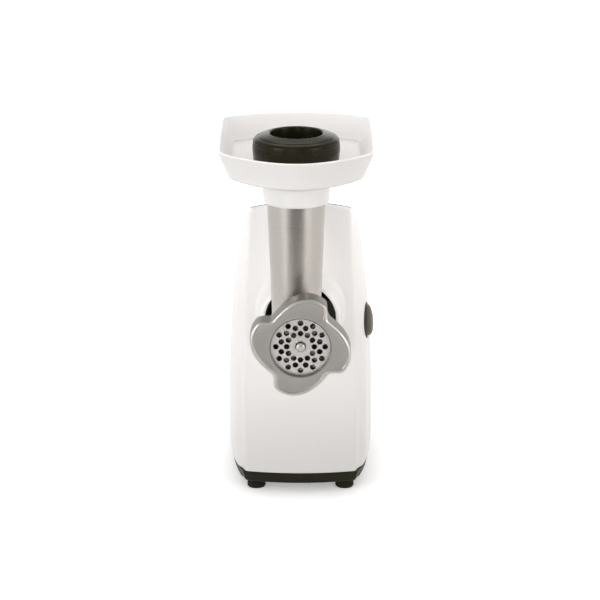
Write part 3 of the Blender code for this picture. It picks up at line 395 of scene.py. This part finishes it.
def winding(name, colour):
    n = Nodes(name)
    w = n.new("ShaderNodeTexWave")
    w.wave_type = 'RINGS'
    w.rings_direction = 'Z'
    w.inputs["Scale"].default_value = 420.0
    w.inputs["Distortion"].default_value = 0.6
    n.link(n.co.outputs["Object"], w.inputs["Vector"])
    col = n.ramp(w.outputs["Fac"], [(0.1, shade(colour, 0.45)), (0.9, shade(colour, 1.15))])
    return n.out(col, n.remap(n.noise(150.0, 3.0), 0.25, 0.5), n.bump(w.outputs["Fac"], 0.6, 0.0003), Metallic=0.6, Coat_Weight=0.4)


LAMM = laminated("lamination_steel", (0.26, 0.26, 0.28))
COILM = winding("coil_enamelled_copper", (0.50, 0.20, 0.07))

KEEP = {
    "auger": AUGERM, "knife": KNIFEM, "head_socket": SOCKM, "cooling_fan": SOCKM,
    "gearbox_housing": CASEM, "gearbox_cover": CASEM, "rear_motor_bracket": CASEM,
    "output_gear": NYLONM, "idler_gear": NYLONM, "idler_pinion": GEARM, "motor_pinion": GEARM,
    "output_shaft": SHAFTM, "idler_shaft": SHAFTM, "motor_shaft": SHAFTM,
    "motor_bearing_front": SHAFTM, "motor_bearing_rear": SHAFTM,
    "output_bush_front": BRONZEM, "output_bush_rear": BRONZEM, "idler_bush_front": BRONZEM, "idler_bush_rear": BRONZEM,
    "armature_core": LAMM, "stator_core": LAMM, "field_coil_upper": COILM, "field_coil_lower": COILM,
    "commutator": COMM, "carbon_brush_left": CARBM, "carbon_brush_right": CARBM,
    "brush_holder_left": BRASSM, "brush_holder_right": BRASSM,
    "motor_bolt_1": SCREWM, "motor_bolt_2": SCREWM,
    "base_screw_1": SCREWM, "base_screw_2": SCREWM, "base_screw_3": SCREWM, "base_screw_4": SCREWM,
    "cord_inlet": BLACK, "switch_housing": SWM,
}
for nm, mt in KEEP.items():
    me = NODES[nm].data
    me.materials.clear()
    me.materials.append(mt)

# ============================================================== body surfaces
WIDE = ((18.5, 60.2), (33, 61.9), (61, 62.0), (112, 61.1), (153, 58.6),
        (188, 54.4), (206, 51.2), (220, 47.6), (235, 44.2), (258, 40.6))
EDGE = ((18.5, 48.0), (60, 48.4), (120, 47.8), (185, 46.2), (220, 44.6), (250, 42.8), (258, 42.2))


def bulge(y):
    if y < 50:
        t = max(0.0, (y + 16.0) / 66.0)
        return 1 - (1 - t) ** 2
    return 1 - 0.85 * ((y - 50) / 114.0) ** 3


def half_width(y, z):
    e, w = spline(EDGE, z), spline(WIDE, z)
    return e + (w - e) * bulge(y)


def top_z(y):
    return 258.6 - 0.275 * (y - BODY_FRONT) - 72.0 * (max(0.0, y - 70.0) / 94.0) ** 2.2


def shoulder(y):
    return 1.8 + 17.2 * min(1.0, max(0.0, (y + 14) / 55.0))


def section(y, inset=0.0, fade=0.0, ns=56, nc=12, nt=22):
    right = []
    zt = top_z(y) - inset
    r = max(0.8, shoulder(y) - inset)
    crown = TOP_CROWN * (1 - 0.3 * min(1, max(0, (y - 20) / 60)))
    zs = zt - crown - r
    for k in range(ns):
        z = BODY_Z0 + (zs - BODY_Z0) * k / (ns - 1)
        right.append((half_width(y, z) - inset, z))
    wx = right[-1][0]
    xe = wx - r
    for k in range(1, nc + 1):
        a = math.radians(90 * k / (nc + 1))
        right.append((wx - r + r * math.cos(a), zs + r * math.sin(a)))
    for k in range(nt):
        x = xe * (1 - k / nt)
        right.append((x, zs + r + crown * (1 - (x / xe) ** 2)))
    right.append((0.0, zt))
    pts = [(-x, z) for x, z in right[:-1]] + right[::-1]
    return [(AX + x, y + fade * BODY_CROWN * (x / spline(EDGE, z)) ** 2, z) for x, z in pts]


def cap_grid(verts, faces, ring, fade, y, cols):
    n = len(ring)
    prev = first = None
    for i in range(n // 2 + 1):
        l, r = ring[i], ring[n - 1 - i]
        if l == r:
            row = [l]
        else:
            xl, zl, xr = verts[l][0], verts[l][2], verts[r][0]
            row = [l]
            for j in range(1, cols):
                x = xl + (xr - xl) * j / cols
                row.append(len(verts))
                verts.append((x, y + fade * BODY_CROWN * ((x - AX) / spline(EDGE, zl)) ** 2, zl))
            row.append(r)
        if i == 0:
            first = row
        if prev is not None:
            for j in range(len(prev) - 1):
                faces.append([prev[j], prev[j + 1], row[0]] if len(row) == 1 else [prev[j], prev[j + 1], row[j + 1], row[j]])
        prev = row
    return first


def shell(name, outer, inner, fade, y_out, y_in, mat, cols=40):
    verts, faces, chains, rims = [], [], [], []
    for rings, y in ((outer, y_out), (inner, y_in)):
        idx = []
        for rg in rings:
            idx.append(list(range(len(verts), len(verts) + len(rg))))
            verts += rg
        for a, b in zip(idx, idx[1:]):
            for k in range(len(a) - 1):
                faces.append([a[k], a[k + 1], b[k + 1], b[k]])
        row = cap_grid(verts, faces, idx[0], fade, y, cols)
        chains.append([r[0] for r in idx[::-1]] + row[1:-1] + [r[-1] for r in idx])
        rims.append(idx[-1])
    for a, b in (chains, rims):
        for k in range(len(a) - 1):
            faces.append([a[k], a[k + 1], b[k + 1], b[k]])
    return obj(name, verts, faces, mat, 30)


def edge_run(r, n, y0, sgn):
    """(y, inset) along a rounded edge of radius r starting in the face."""
    out = []
    for k in range(n + 1):
        a = math.radians(90 * k / n)
        out.append((y0 + sgn * r * (1 - math.cos(a)), r * (1 - math.sin(a))))
    return out


# front panel
run = edge_run(3.2, 8, BODY_FRONT, 1)
ys = [(y, i, 1.0) for y, i in run]
for k in range(1, 9):
    t = k / 8
    y = run[-1][0] + (BODY_SEAM - run[-1][0]) * t
    ys.append((y, 0.0, 0.5 + 0.5 * math.cos(math.pi * t)))
ys[-1] = (BODY_SEAM, 0.0, 0.0)
outer = [section(y, i, f) for y, i, f in ys]
outer.insert(len(outer) - 1, section(BODY_SEAM - 0.35, 0.0, 0.0))
outer[-1] = section(BODY_SEAM, 0.3, 0.0)
inner = [section(y + WALL * (1 - k / len(ys)), i * 0.4 + WALL, f) for k, (y, i, f) in enumerate(ys)]
inner.append(section(BODY_SEAM, WALL, 0.0))
inner[-2] = section(BODY_SEAM - 0.4, WALL, 0.0)
front = shell("front_panel_skin", outer, inner, 1.0, BODY_FRONT, BODY_FRONT + WALL, WHITE)
R0, RB = 29.7, 35.4
boss = turned("tmp_boss", [(28.0, -7.0), (28.0, -46.0), (R0 + 1.6, -46.0, 1.0), (32.8, -45.4, 2.2), (34.0, -38.0, 12), (RB, -21.0, 5), (38.2, -17.5, 3), (38.6, -7.0), (28.0, -7.0)],
              WHITE, "Y", (AX, 0, AZ), 128, closed=False)
combine(front, boss, 'UNION')
combine(front, turned("tmp_bore", [(0, -60), (R0, -60), (R0, 2), (0, 2)], WHITE, "Y", (AX, 0, AZ), 128), 'DIFFERENCE')

# rear housing
run = edge_run(9.0, 12, BODY_BACK, -1)
ys = [(y, i) for y, i in run]
y = run[-1][0]
N = 44
for k in range(1, N + 1):
    ys.append((y + (BODY_SEAM + 0.3 + 0.35 - y) * k / N, 0.0))
ys.append((BODY_SEAM + 0.3, 0.3))
outer = [section(y, i) for y, i in ys]
inner = [section(min(y, BODY_BACK - WALL - (BODY_BACK - y) * 0.75) if y > 154 else y, i * 0.7 + WALL) for y, i in ys[:-1]] + [section(BODY_SEAM + 0.3, WALL)]
rear = shell("rear_housing_skin", outer, inner, 0.0, BODY_BACK, BODY_BACK - WALL, WHITE)
SY, SZ, SR = 22.0, 143.3, 13.9
SX = AX + half_width(SY, SZ) - 1.0
combine(rear, turned("tmp_sw", [(0, 40), (SR + 1.8, 40), (SR + 1.8, 80), (0, 80)], WHITE, "X", (0, SY, SZ), 96), 'DIFFERENCE')
combine(rear, turned("tmp_in", [(0, 150), (6.3, 150), (6.3, 175), (0, 175)], WHITE, "Y", (AX, 0, 38.0), 48), 'DIFFERENCE')

# dark strip along the panel's top edge: painted shadow of the gap at the seam
verts = []
seam = [p for p in section(BODY_FRONT + 2.6, 0.1, 1.0, 56, 12, 22)][60:-60]
rings = []
for p in seam:
    rings.append([(p[0], p[1] + 0.6 * math.cos(2 * math.pi * k / 8), p[2] - 0.15 + 0.6 * math.sin(2 * math.pi * k / 8)) for k in range(8)])
seam_shadow_ob = stack("panel_top_seam_shadow", rings, SEAM_SHADOW_M, 60, closed=False)

# base tray
def plan(inset, n_front=24):
    z = BODY_Z0
    ysr = [-12.0 + (163.0 + 12.0) * k / 40 for k in range(41)]
    right = [(half_width(y, z) - inset, y + (inset if y < 0 else 0) - (inset if y > 158 else 0)) for y in ysr]
    w = right[-1][0]
    back = [(w - 5.0, BODY_BACK - inset)] + [(w - 5.0 - (w - 5.0) * k / 8, BODY_BACK - inset) for k in range(1, 8)]
    e = EDGE[0][1]
    pts = right + back + [(0.0, BODY_BACK - inset)] + [(-x, y) for x, y in back[::-1]] + [(-x, y) for x, y in right[::-1]]
    xs = [(-44.9 + 89.8 * k / n_front) for k in range(n_front + 1)]
    for x in xs:
        pts.append((x * (1 - inset / 60), BODY_FRONT + BODY_CROWN * (x / e) ** 2 + inset))
    return [(AX + x, y) for x, y in pts]


rings = []
for ins, z in ((9.0, 8.0), (4.6, 8.0), (3.4, 8.25), (2.6, 9.0), (2.1, 10.2), (0.35, 17.0), (0.15, 17.8), (0.5, 18.2), (3.0, 18.2), (3.2, 11.2), (9.0, 11.0)):
    rings.append([(x, y, z) for x, y in plan(ins)])
base = stack("base_tray_skin", rings, BLACK, 30, closed=False)
for k in range(4):
    y = 62.0 + 13.0 * k
    sl = stack("tmp_v", [[(AX + 24 * sx, y + 2 + 2 * sy, z) for sx, sy in ((-1, -1), (1, -1), (1, 1), (-1, 1))] for z in (5.0, 14.0)], BLACK, 30, closed=False)
    combine(base, sl, 'DIFFERENCE', 30)
SCREW_XY = [((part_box("base_screw_%d" % k)[0].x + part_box("base_screw_%d" % k)[1].x) / 2 / MM, (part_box("base_screw_%d" % k)[0].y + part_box("base_screw_%d" % k)[1].y) / 2 / MM) for k in (1, 2, 3, 4)]
for sx, sy in SCREW_XY:
    combine(base, turned("tmp_s", [(0, 5), (2.3, 5), (2.3, 14), (0, 14)], BLACK, "Z", (sx, sy, 0), 32), 'DIFFERENCE', 30)
FEET = {}
for nm in ("foot_front_left", "foot_front_right", "foot_rear_left", "foot_rear_right"):
    lo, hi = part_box(nm)
    fx, fy = (lo.x + hi.x) / 2 / MM, (lo.y + hi.y) / 2 / MM
    combine(base, turned("tmp_f", [(0, 5), (3.3, 5), (3.3, 14), (0, 14)], BLACK, "Z", (fx, fy, 0), 32), 'DIFFERENCE', 30)
    f = turned(nm + "_skin", [(0, 0.6), (4.5, 0.6, 0.4), (5.0, 0.0, 0.3), (7.0, 0.0, 0.9), (8.0, 1.4, 1.0), (7.6, 7.7, 0.5), (3.0, 7.7), (3.0, 13.0, 0.4), (0, 13.0)], FOOTM, "Z", (fx, fy, 0), 64)
    FEET[nm] = f

# ============================================================== grinding head
def tube_out(z):
    return 21.25 + (min(z, 275.0) - 215.0) * 0.04


head = turned("grinder_head_skin", [(0, -118.0), (30.0, -118.0, 0.6), (30.0, -103.0, 0.8), (27.0, -101.0, 1.5), (26.0, -98.0, 4), (25.5, -60.0, 3), (24.0, -54.0, 2), (24.0, -12.0, 0.6), (0, -12.0)],
              TUBEM, "Y", (AX, 0, AZ), 96)
combine(head, turned("tmp_t", [(0, 150)] + [(tube_out(z), z) for z in (150, 180, 215, 245, 275)] + [(tube_out(275), 303.0, 0.6), (0, 303.0)], TUBEM, "Z", (TX, TY, 0), 128), 'UNION')
for a in (90.0, 210.0, 330.0):
    w = 9.0
    pts = [(r * math.cos(math.radians(a + d)), r * math.sin(math.radians(a + d))) for r, d in ((23.2, -w), (27.5, -w), (27.5, -w / 2), (27.5, 0), (27.5, w / 2), (27.5, w), (23.2, w))]
    combine(head, stack("tmp_l", [[(AX + u, y, AZ + v) for u, v in pts] for y in (-31.0, -23.0)], TUBEM, 30, closed=False), 'UNION')
combine(head, turned("tmp_tb", [(0, 172.0), (17.1, 172.0), (21.2, 275.0), (21.2, 310.0), (0, 310.0)], TUBEM, "Z", (TX, TY, 0), 96), 'DIFFERENCE')
combine(head, turned("tmp_bb", [(0, -130.0), (27.3, -130.0), (27.3, -108.0), (22.0, -106.5), (22.0, -58.0), (0, -58.0)], TUBEM, "Y", (AX, 0, AZ), 96), 'DIFFERENCE')
combine(head, turned("tmp_sh", [(0, -62.0), (8.0, -62.0), (8.0, -50.0), (20.5, -48.0), (20.5, -5.0), (0, -5.0)], TUBEM, "Y", (AX, 0, AZ), 64), 'DIFFERENCE')

# ring nut
def lobe_r(deg):
    d = (deg - 43.5) % 90.0
    if d < 62.0:
        t = d / 62.0
        s = t * t * (3 - 2 * t)
        return 32.1 + 9.5 * s
    if d < 76.0:
        t = (d - 62.0) / 14.0
        return 41.6 - 1.0 * t * t
    t = (d - 76.0) / 14.0
    s = t * t * (3 - 2 * t)
    return 40.6 - 8.5 * s


NL = 360
base_pts = []
for k in range(NL):
    deg = 360.0 * k / NL
    # rounded by averaging over a few degrees
    r = sum(lobe_r(deg + d) for d in (-2.4, -1.2, 0, 1.2, 2.4)) / 5
    t = math.radians(90 - deg)
    base_pts.append(Vector((r * math.cos(t), r * math.sin(t))))
nrm = []
for k in range(NL):
    d = base_pts[(k + 1) % NL] - base_pts[k - 1]
    nn = Vector((-d.y, d.x)).normalized()
    if nn.dot(base_pts[k]) < 0:
        nn = -nn
    nrm.append(nn)


def nut_ring(y, inset):
    return [(AX + (p - n * inset).x, y, AZ + (p - n * inset).y) for p, n in zip(base_pts, nrm)]


def nut_circ(y, r):
    return [(AX + r * p.x / p.length, y, AZ + r * p.y / p.length) for p in base_pts]


rings = [nut_ring(-104.0, 1.2), nut_ring(-104.1, 0.7), nut_ring(-104.4, 0.3), nut_ring(-104.9, 0.05), nut_ring(-105.6, 0.0)]
for k in range(13):
    a = math.radians(90 * k / 12)
    rings.append(nut_ring(-124.0 + 2.0 * (1 - math.sin(a)), 2.1 * (1 - math.cos(a))))
for ins, y in ((2.35, -124.0), (2.6, -123.9), (2.9, -123.6), (3.2, -123.45), (3.5, -123.4)):
    rings.append(nut_ring(y, ins))
rings += [nut_circ(-123.4, 26.0), nut_circ(-123.4, 25.0), nut_circ(-123.2, 24.35), nut_circ(-122.8, 24.0), nut_circ(-120.35, 24.0), nut_circ(-120.35, 30.5), nut_circ(-104.0, 30.5)]
nut = stack("ring_nut_skin", rings, NUTM, 40)
nut.data.materials.append(NUT_SIDE_SHADE_M)
nut.data.materials.append(NUT_RIM_HIGHLIGHT_M)
nut.data.materials.append(HOLE_SHADE_M)
for pl in nut.data.polygons:
    out = (pl.center.x / MM - AX) * pl.normal.x + (pl.center.z / MM - AZ) * pl.normal.z
    # outward-facing rim fillet faces take the lighter rim material: painted highlight
    if out > 0 and -0.97 < pl.normal.y < -0.30:
        pl.material_index = 2
    # side faces take the darker side material: painted shade
    elif abs(pl.normal.y) < 0.9:
        pl.material_index = 1
    # the aperture wall takes the dark hole material: painted shade in the recess
    if math.hypot(pl.center.x / MM - AX, pl.center.z / MM - AZ) < 25.05:
        pl.material_index = 3

# grinding plate
def fill(name, loops, y0, y1, cham, mat, c, hole_shade_mat=None):
    """Disc with holes; every rim has a small chamfer on both faces."""
    dark = []
    bm = bmesh.new()
    edges, ids = [], []
    for lp, hole in loops:
        vs = [bm.verts.new((u, v, 0)) for u, v in lp]
        ids.append((vs, hole))
        edges += [bm.edges.new((vs[i], vs[(i + 1) % len(vs)])) for i in range(len(vs))]
    bm.verts.index_update()
    bmesh.ops.triangle_fill(bm, use_beauty=True, use_dissolve=False, edges=edges)
    tris = [[v.index for v in f.verts] for f in bm.faces]
    flat = [(v.co.x, v.co.y) for v in bm.verts]
    loops_i = [([v.index for v in vs], hole) for vs, hole in ids]
    bm.free()
    n = len(flat)
    verts = [(c[0] + u, y0, c[1] + v) for u, v in flat] + [(c[0] + u, y1, c[1] + v) for u, v in flat]
    faces = list(tris) + [[i + n for i in reversed(f)] for f in tris]
    for vs, hole in loops_i:
        cu = sum(flat[i][0] for i in vs) / len(vs)
        cv = sum(flat[i][1] for i in vs) / len(vs)
        mid = []
        for y in (y0 + cham, y1 - cham):
            s = len(verts)
            for i in vs:
                u, v = flat[i]
                d = math.hypot(u - cu, v - cv)
                k = (d - cham) / d if hole else (d + cham) / d
                verts.append((c[0] + cu + (u - cu) * k, y, c[1] + cv + (v - cv) * k))
            mid.append(list(range(s, s + len(vs))))
        chain = [vs, mid[0], mid[1], [i + n for i in vs]]
        for a, b in zip(chain, chain[1:]):
            for i in range(len(vs)):
                j = (i + 1) % len(vs)
                faces.append([a[i], a[j], b[j], b[i]])
                # hole walls between the chamfers take the dark material: painted shade inside the holes
                if hole_shade_mat is not None and hole and a is mid[0]:
                    dark.append(len(faces) - 1)
    o = obj(name, verts, faces, mat, 30)
    if hole_shade_mat is not None:
        o.data.materials.append(hole_shade_mat)
        for i in dark:
            o.data.polygons[i].material_index = 1
    return o


CH = 0.22
rim = []
for k in range(144):
    t = 2 * math.pi * k / 144 - math.pi / 2
    R = 27.0 - CH
    if abs(k if k < 72 else k - 144) <= 1:
        continue
    rim.append((R * math.cos(t), R * math.sin(t)))
rim += [(-1.8, -26.6), (-1.8, -25.2), (1.8, -25.2), (1.8, -26.6)]
loops = [(rim, False), ([(4.5 * math.cos(2 * math.pi * k / 40), 4.5 * math.sin(2 * math.pi * k / 40)) for k in range(40)], True)]
for r, ph in ((11.1, 0.0), (16.0, 15.0), (19.9, 0.0)):
    for k in range(12):
        t = math.radians(ph + 30 * k)
        cu, cv = r * math.cos(t), r * math.sin(t)
        loops.append(([(cu + (2.25 + CH) * math.cos(2 * math.pi * j / 24), cv + (2.25 + CH) * math.sin(2 * math.pi * j / 24)) for j in range(24)], True))
plate = fill("grinding_plate_skin", loops, -120.0, -115.0, CH, PLATEM, (AX, AZ), HOLE_SHADE_M)

# ================================================================= feed tray
def tray_outline(h, front, back, bow, soft=12):
    """Plan outline from the front middle: bowed front edge, sides that swell
    by bow, bowed back edge, corners eased round."""
    mid = (front[1] + back[1]) / 2
    side = lambda y: h + bow * (1 - ((y - mid) / 60.0) ** 2)
    xc = side(front[1])
    half = [(xc * i / 34, front[0] + (front[1] - front[0]) * (i / 34) ** 1.87) for i in range(34)]
    for i in range(50):
        y = front[1] + (back[1] - front[1]) * i / 50
        half.append((side(y), y))
    half += [(xc * (1 - i / 30), back[0] + (back[1] - back[0]) * (1 - i / 30) ** 2) for i in range(31)]
    loop = half + [(-x, y) for x, y in half[-2:0:-1]]
    n = len(loop)
    for _ in range(soft):
        loop = [tuple(0.25 * loop[k - 1][c] + 0.5 * loop[k][c] + 0.25 * loop[(k + 1) % n][c] for c in (0, 1)) for k in range(n)]
    return loop


TH = 62.1
rim_o = tray_outline(TH, (-166.258, -129.0), (13.0, -3.0), 0.6)
low_o = tray_outline(54.8, (-160.5, -121.5), (4.5, -11.0), 0.4)
NT = len(rim_o)


def offset(loop, d):
    out = []
    n = len(loop)
    for k in range(n):
        tx, ty = loop[(k + 1) % n][0] - loop[k - 1][0], loop[(k + 1) % n][1] - loop[k - 1][1]
        m = math.hypot(tx, ty)
        out.append((loop[k][0] - ty / m * d, loop[k][1] + tx / m * d))
    return out


def lev(loop, z):
    return [(TX + x, y, z) for x, y in loop]


def blend(a, b, t):
    return [(p[0] + (q[0] - p[0]) * t, p[1] + (q[1] - p[1]) * t) for p, q in zip(a, b)]


def C(r):
    return [(r * math.sin(2 * math.pi * k / NT), TY - r * math.cos(2 * math.pi * k / NT)) for k in range(NT)]


TW = 2.2
base_wall = 307.6
rings = [lev(C(24.1), 275.0), lev(C(26.0), 275.0), lev(C(26.7), 275.3), lev(C(27.1), 276.2), lev(C(27.1), 301.5), lev(C(27.4), 303.0), lev(C(28.2), 303.7), lev(C(29.6), 304.0)]
low_m = offset(low_o, 3.4)
for t in (0.25, 0.5, 0.75, 1.0):
    rings.append(lev(blend(C(29.6), low_m, t), 304.0))
for k in range(1, 9):
    a = math.radians(90 * k / 8)
    rings.append(lev(blend(low_m, low_o, math.sin(a)), 304.0 + 3.6 * (1 - math.cos(a))))
for t in (0.2, 0.4, 0.6, 0.8):
    rings.append(lev(blend(low_o, rim_o, t), base_wall + (326.4 - base_wall) * t))
for d, z in ((0.25, 326.4), (0.0, 326.9), (0.15, 327.4), (0.6, 327.7), (1.5, 327.7), (2.0, 327.4), (TW + 0.05, 326.7)):
    rings.append(lev(offset(rim_o, d), z))
for t in (0.8, 0.6, 0.4, 0.2):
    rings.append(lev(offset(blend(low_o, rim_o, t), TW), base_wall + (326.7 - base_wall) * t))
for k in range(8, -1, -1):
    a = math.radians(90 * k / 8)
    rings.append(lev(blend(offset(low_o, 7.0), offset(low_o, TW), math.sin(a)), 306.6 + 3.2 * (1 - math.cos(a))))
for t in (0.66, 0.33):
    rings.append(lev(blend(C(23.0), offset(low_o, 7.0), t), 306.6))
rings += [lev(C(22.6), 306.6), lev(C(21.8), 306.2), lev(C(21.6), 305.6), lev(C(21.6), 304.0), lev(C(24.1), 303.6)]
tray = stack("feed_tray_skin", rings, TRAYM, 35)

# ==================================================================== pusher
ti = lambda z: 21.25 + (z - 215.0) * 0.04 - 2.4
push = turned("pusher_skin", [(0, 200.0), (ti(205) - 1.2, 200.0, 1.2), (ti(205) - 0.8, 205.0, 3), (ti(275) - 0.8, 275.0), (ti(275) - 0.8, 306.9),
                              (34.3, 306.9, 0.6), (34.7, 312.0, 4), (35.25, 317.5, 8), (35.2, 321.2, 2), (34.75, 321.7, 0.25), (34.75, 322.2, 0.25), (35.0, 322.7, 0.4), (34.6, 325.8, 2.5), (33.2, 327.7, 1.2),
                              (31.2, 328.7, 1.0), (31.0, 328.55, 0.15), (30.6, 328.55, 0.15), (30.4, 329.1, 0.3), (28.2, 330.0, 2.0), (22.4, 331.5, 0.9), (21.2, 330.9, 0.8), (20.8, 326.5, 2),
                              (18.4, 300.0, 8), (ti(205) - 3.3, 203.0, 2), (0, 203.0)], PUSHM, "Z", (TX, TY, 0), 128, seg=6)

# ==================================================================== switch
RX = SX - 4.0
tilt = math.radians(5.0)
prof = fillet([(13.3, -2.4), (13.7, 0.0), (13.9, 3.6, 3), (13.6, 6.2, 2.0), (12.2, 8.0, 3), (9.4, 9.1, 7), (5.2, 9.95, 12), (0.0, 10.3)], 6)
NR = 96
verts, faces, idx = [], [], []
for r, a in prof:
    if r < 1e-6:
        idx.append([len(verts)] * NR)
        verts.append((a, 0.0, 0.0))
        continue
    idx.append(list(range(len(verts), len(verts) + NR)))
    verts += [(a, r * math.cos(2 * math.pi * k / NR), r * math.sin(2 * math.pi * k / NR)) for k in range(NR)]
for a, b in zip(idx, idx[1:]):
    for k in range(NR):
        f = []
        for v in (a[k], a[(k + 1) % NR], b[(k + 1) % NR], b[k]):
            if v not in f:
                f.append(v)
        faces.append(f)
faces.append(idx[0][::-1])
verts = [(RX + a * math.cos(-tilt) + w * math.sin(-tilt), SY + u, SZ - a * math.sin(-tilt) + w * math.cos(-tilt)) for a, u, w in verts]
rocker = obj("power_rocker_skin", verts, faces, ROCKM)
combine(rocker, turned("tmp_rp", [(0, -15.0), (1.5, -15.0), (1.5, 15.0), (0, 15.0)], ROCKM, "Y", (RX, SY, SZ), 32), 'UNION')

# ================================================================== riding
PIECES = [
    (front, "chassis", "front_panel", "white_plastic"), (rear, "chassis", "rear_housing", "white_plastic"),
    (base, "chassis", "base_tray", "black_plastic"),
    (head, "head", "grinder_head", "cast_aluminium"), (nut, "nut", "ring_nut", "nut_metal"), (plate, "plate", "grinding_plate", "plate_steel"),
    (tray, "tray", "feed_tray", "tray_plastic"), (push, "pusher", "pusher", "pusher_plastic"),
    (rocker, "rocker", "power_rocker", "rocker_plastic"),
]
for nm, f in FEET.items():
    PIECES.append((f, "chassis", nm, "foot_rubber"))
for ob, body, node, slot in PIECES:
    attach(ob, body)
    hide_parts(node)
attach(seam_shadow_ob, "chassis")

# =============================================================== studio
sc = bpy.context.scene
sc.view_settings.view_transform = 'Standard'
sc.view_settings.look = 'None'
cam_d = bpy.data.cameras.new("camera")
cam_d.sensor_width = 36.0
cam_d.lens = 160.8
cam_d.clip_end = 50.0
cam = bpy.data.objects.new("camera", cam_d)
cam.location = (AX * MM - 0.0004, -2.1700, 0.8312)
cam.rotation_euler = (math.radians(73.0), 0.0, 0.0)
sc.collection.objects.link(cam)
sc.camera = cam


def studio_mat(name, colour, rough=0.9, glow=0.0):
    m = bpy.data.materials.new(name)
    m.use_nodes = True
    b = m.node_tree.nodes["Principled BSDF"]
    b.inputs["Base Color"].default_value = (*colour, 1)
    b.inputs["Roughness"].default_value = rough
    b.inputs["Specular IOR Level"].default_value = 0.0
    b.inputs["Emission Color"].default_value = (1, 1, 1, 1)
    b.inputs["Emission Strength"].default_value = glow
    return m


S = 40.0
floor = obj("studio_floor", [(-S, -S, 0), (S, -S, 0), (S, S, 0), (-S, S, 0)], [(0, 1, 2, 3)], studio_mat("studio_floor", (0.90, 0.90, 0.90), 0.9, 0.34), 0, 1.0)
floor.visible_diffuse = False
floor.visible_shadow = False
flag = obj("studio_flag", [(-1.4, -2.4, 0.004), (1.3, -2.4, 0.004), (0.54, -0.58, 0.004), (-0.56, -0.58, 0.004)], [(0, 1, 2, 3)],
           studio_mat("studio_flag", (0.10, 0.085, 0.07)), 0, 1.0)
flag.visible_camera = False
flag.visible_diffuse = False
flag.visible_shadow = False

# soft room: brighter overhead and behind the object, dimmer behind the camera
w = bpy.data.worlds.new("studio")
sc.world = w
w.use_nodes = True
wt = w.node_tree
bg = wt.nodes["Background"]
tc = wt.nodes.new("ShaderNodeTexCoord")
sep = wt.nodes.new("ShaderNodeSeparateXYZ")
wt.links.new(tc.outputs["Generated"], sep.inputs["Vector"])
up = wt.nodes.new("ShaderNodeMapRange")
for k, v in (("From Min", -0.05), ("From Max", 0.85), ("To Min", 0.42), ("To Max", 0.92)):
    up.inputs[k].default_value = v
wt.links.new(sep.outputs["Z"], up.inputs["Value"])
fr = wt.nodes.new("ShaderNodeMapRange")
for k, v in (("From Min", -1.0), ("From Max", 0.3), ("To Min", 0.60), ("To Max", 1.0)):
    fr.inputs[k].default_value = v
wt.links.new(sep.outputs["Y"], fr.inputs["Value"])
mu = wt.nodes.new("ShaderNodeMath")
mu.operation = 'MULTIPLY'
wt.links.new(up.outputs["Result"], mu.inputs[0])
wt.links.new(fr.outputs["Result"], mu.inputs[1])
wt.links.new(mu.outputs[0], bg.inputs["Strength"])
bg.inputs["Color"].default_value = (1.0, 0.985, 0.97, 1)


def area(name, loc, target, size, power, colour=(1, 1, 1), spread=180.0):
    d = bpy.data.lights.new(name, 'AREA')
    d.shape = 'RECTANGLE'
    d.size, d.size_y = size
    d.energy = power
    d.color = colour
    d.spread = math.radians(spread)
    o = bpy.data.objects.new(name, d)
    o.location = loc
    o.rotation_euler = (Vector(target) - Vector(loc)).to_track_quat('-Z', 'Y').to_euler()
    o.visible_camera = False
    sc.collection.objects.link(o)
    return o


area("key_left", (-1.5, -1.25, 0.85), (0, 0, 0.36), (0.8, 0.9), 1.15, (1, 0.99, 0.985), 48.0)
area("fill_right", (1.5, -1.2, 0.8), (0, 0, 0.36), (0.8, 0.9), 0.85, (1, 0.985, 0.97), 48.0)
area("front_soft", (-0.3, -1.95, 0.62), (-0.03, -0.05, 0.36), (0.5, 0.4), 0.07, (1, 0.985, 0.98), 30.0)
area("upper_left", (-0.75, -0.9, 0.25), (0, -0.03, 0.200), (0.25, 0.2), 0.082, (1, 0.985, 0.985), 20.0)
area("upper_right", (0.75, -0.9, 0.25), (0, -0.03, 0.200), (0.25, 0.2), 0.078, (1, 0.98, 0.965), 20.0)
area("top_front", (-0.25, -0.85, 1.35), (0, -0.05, 0.3), (0.9, 0.7), 0.6)
area("top", (0.0, 0.35, 1.6), (0, 0, 0.15), (1.2, 1.0), 5.0)
area("side_left", (-2.0, 0.2, 0.30), (0, 0.05, 0.10), (1.0, 0.6), 0.27, (1, 0.99, 0.985), 44.0)
area("side_right", (2.0, 0.2, 0.30), (0, 0.05, 0.10), (1.0, 0.6), 0.24, (1, 0.985, 0.97), 44.0)
area("back_wall", (0.0, 2.4, 0.75), (0, 0, 0.35), (3.2, 1.1), 12.0)
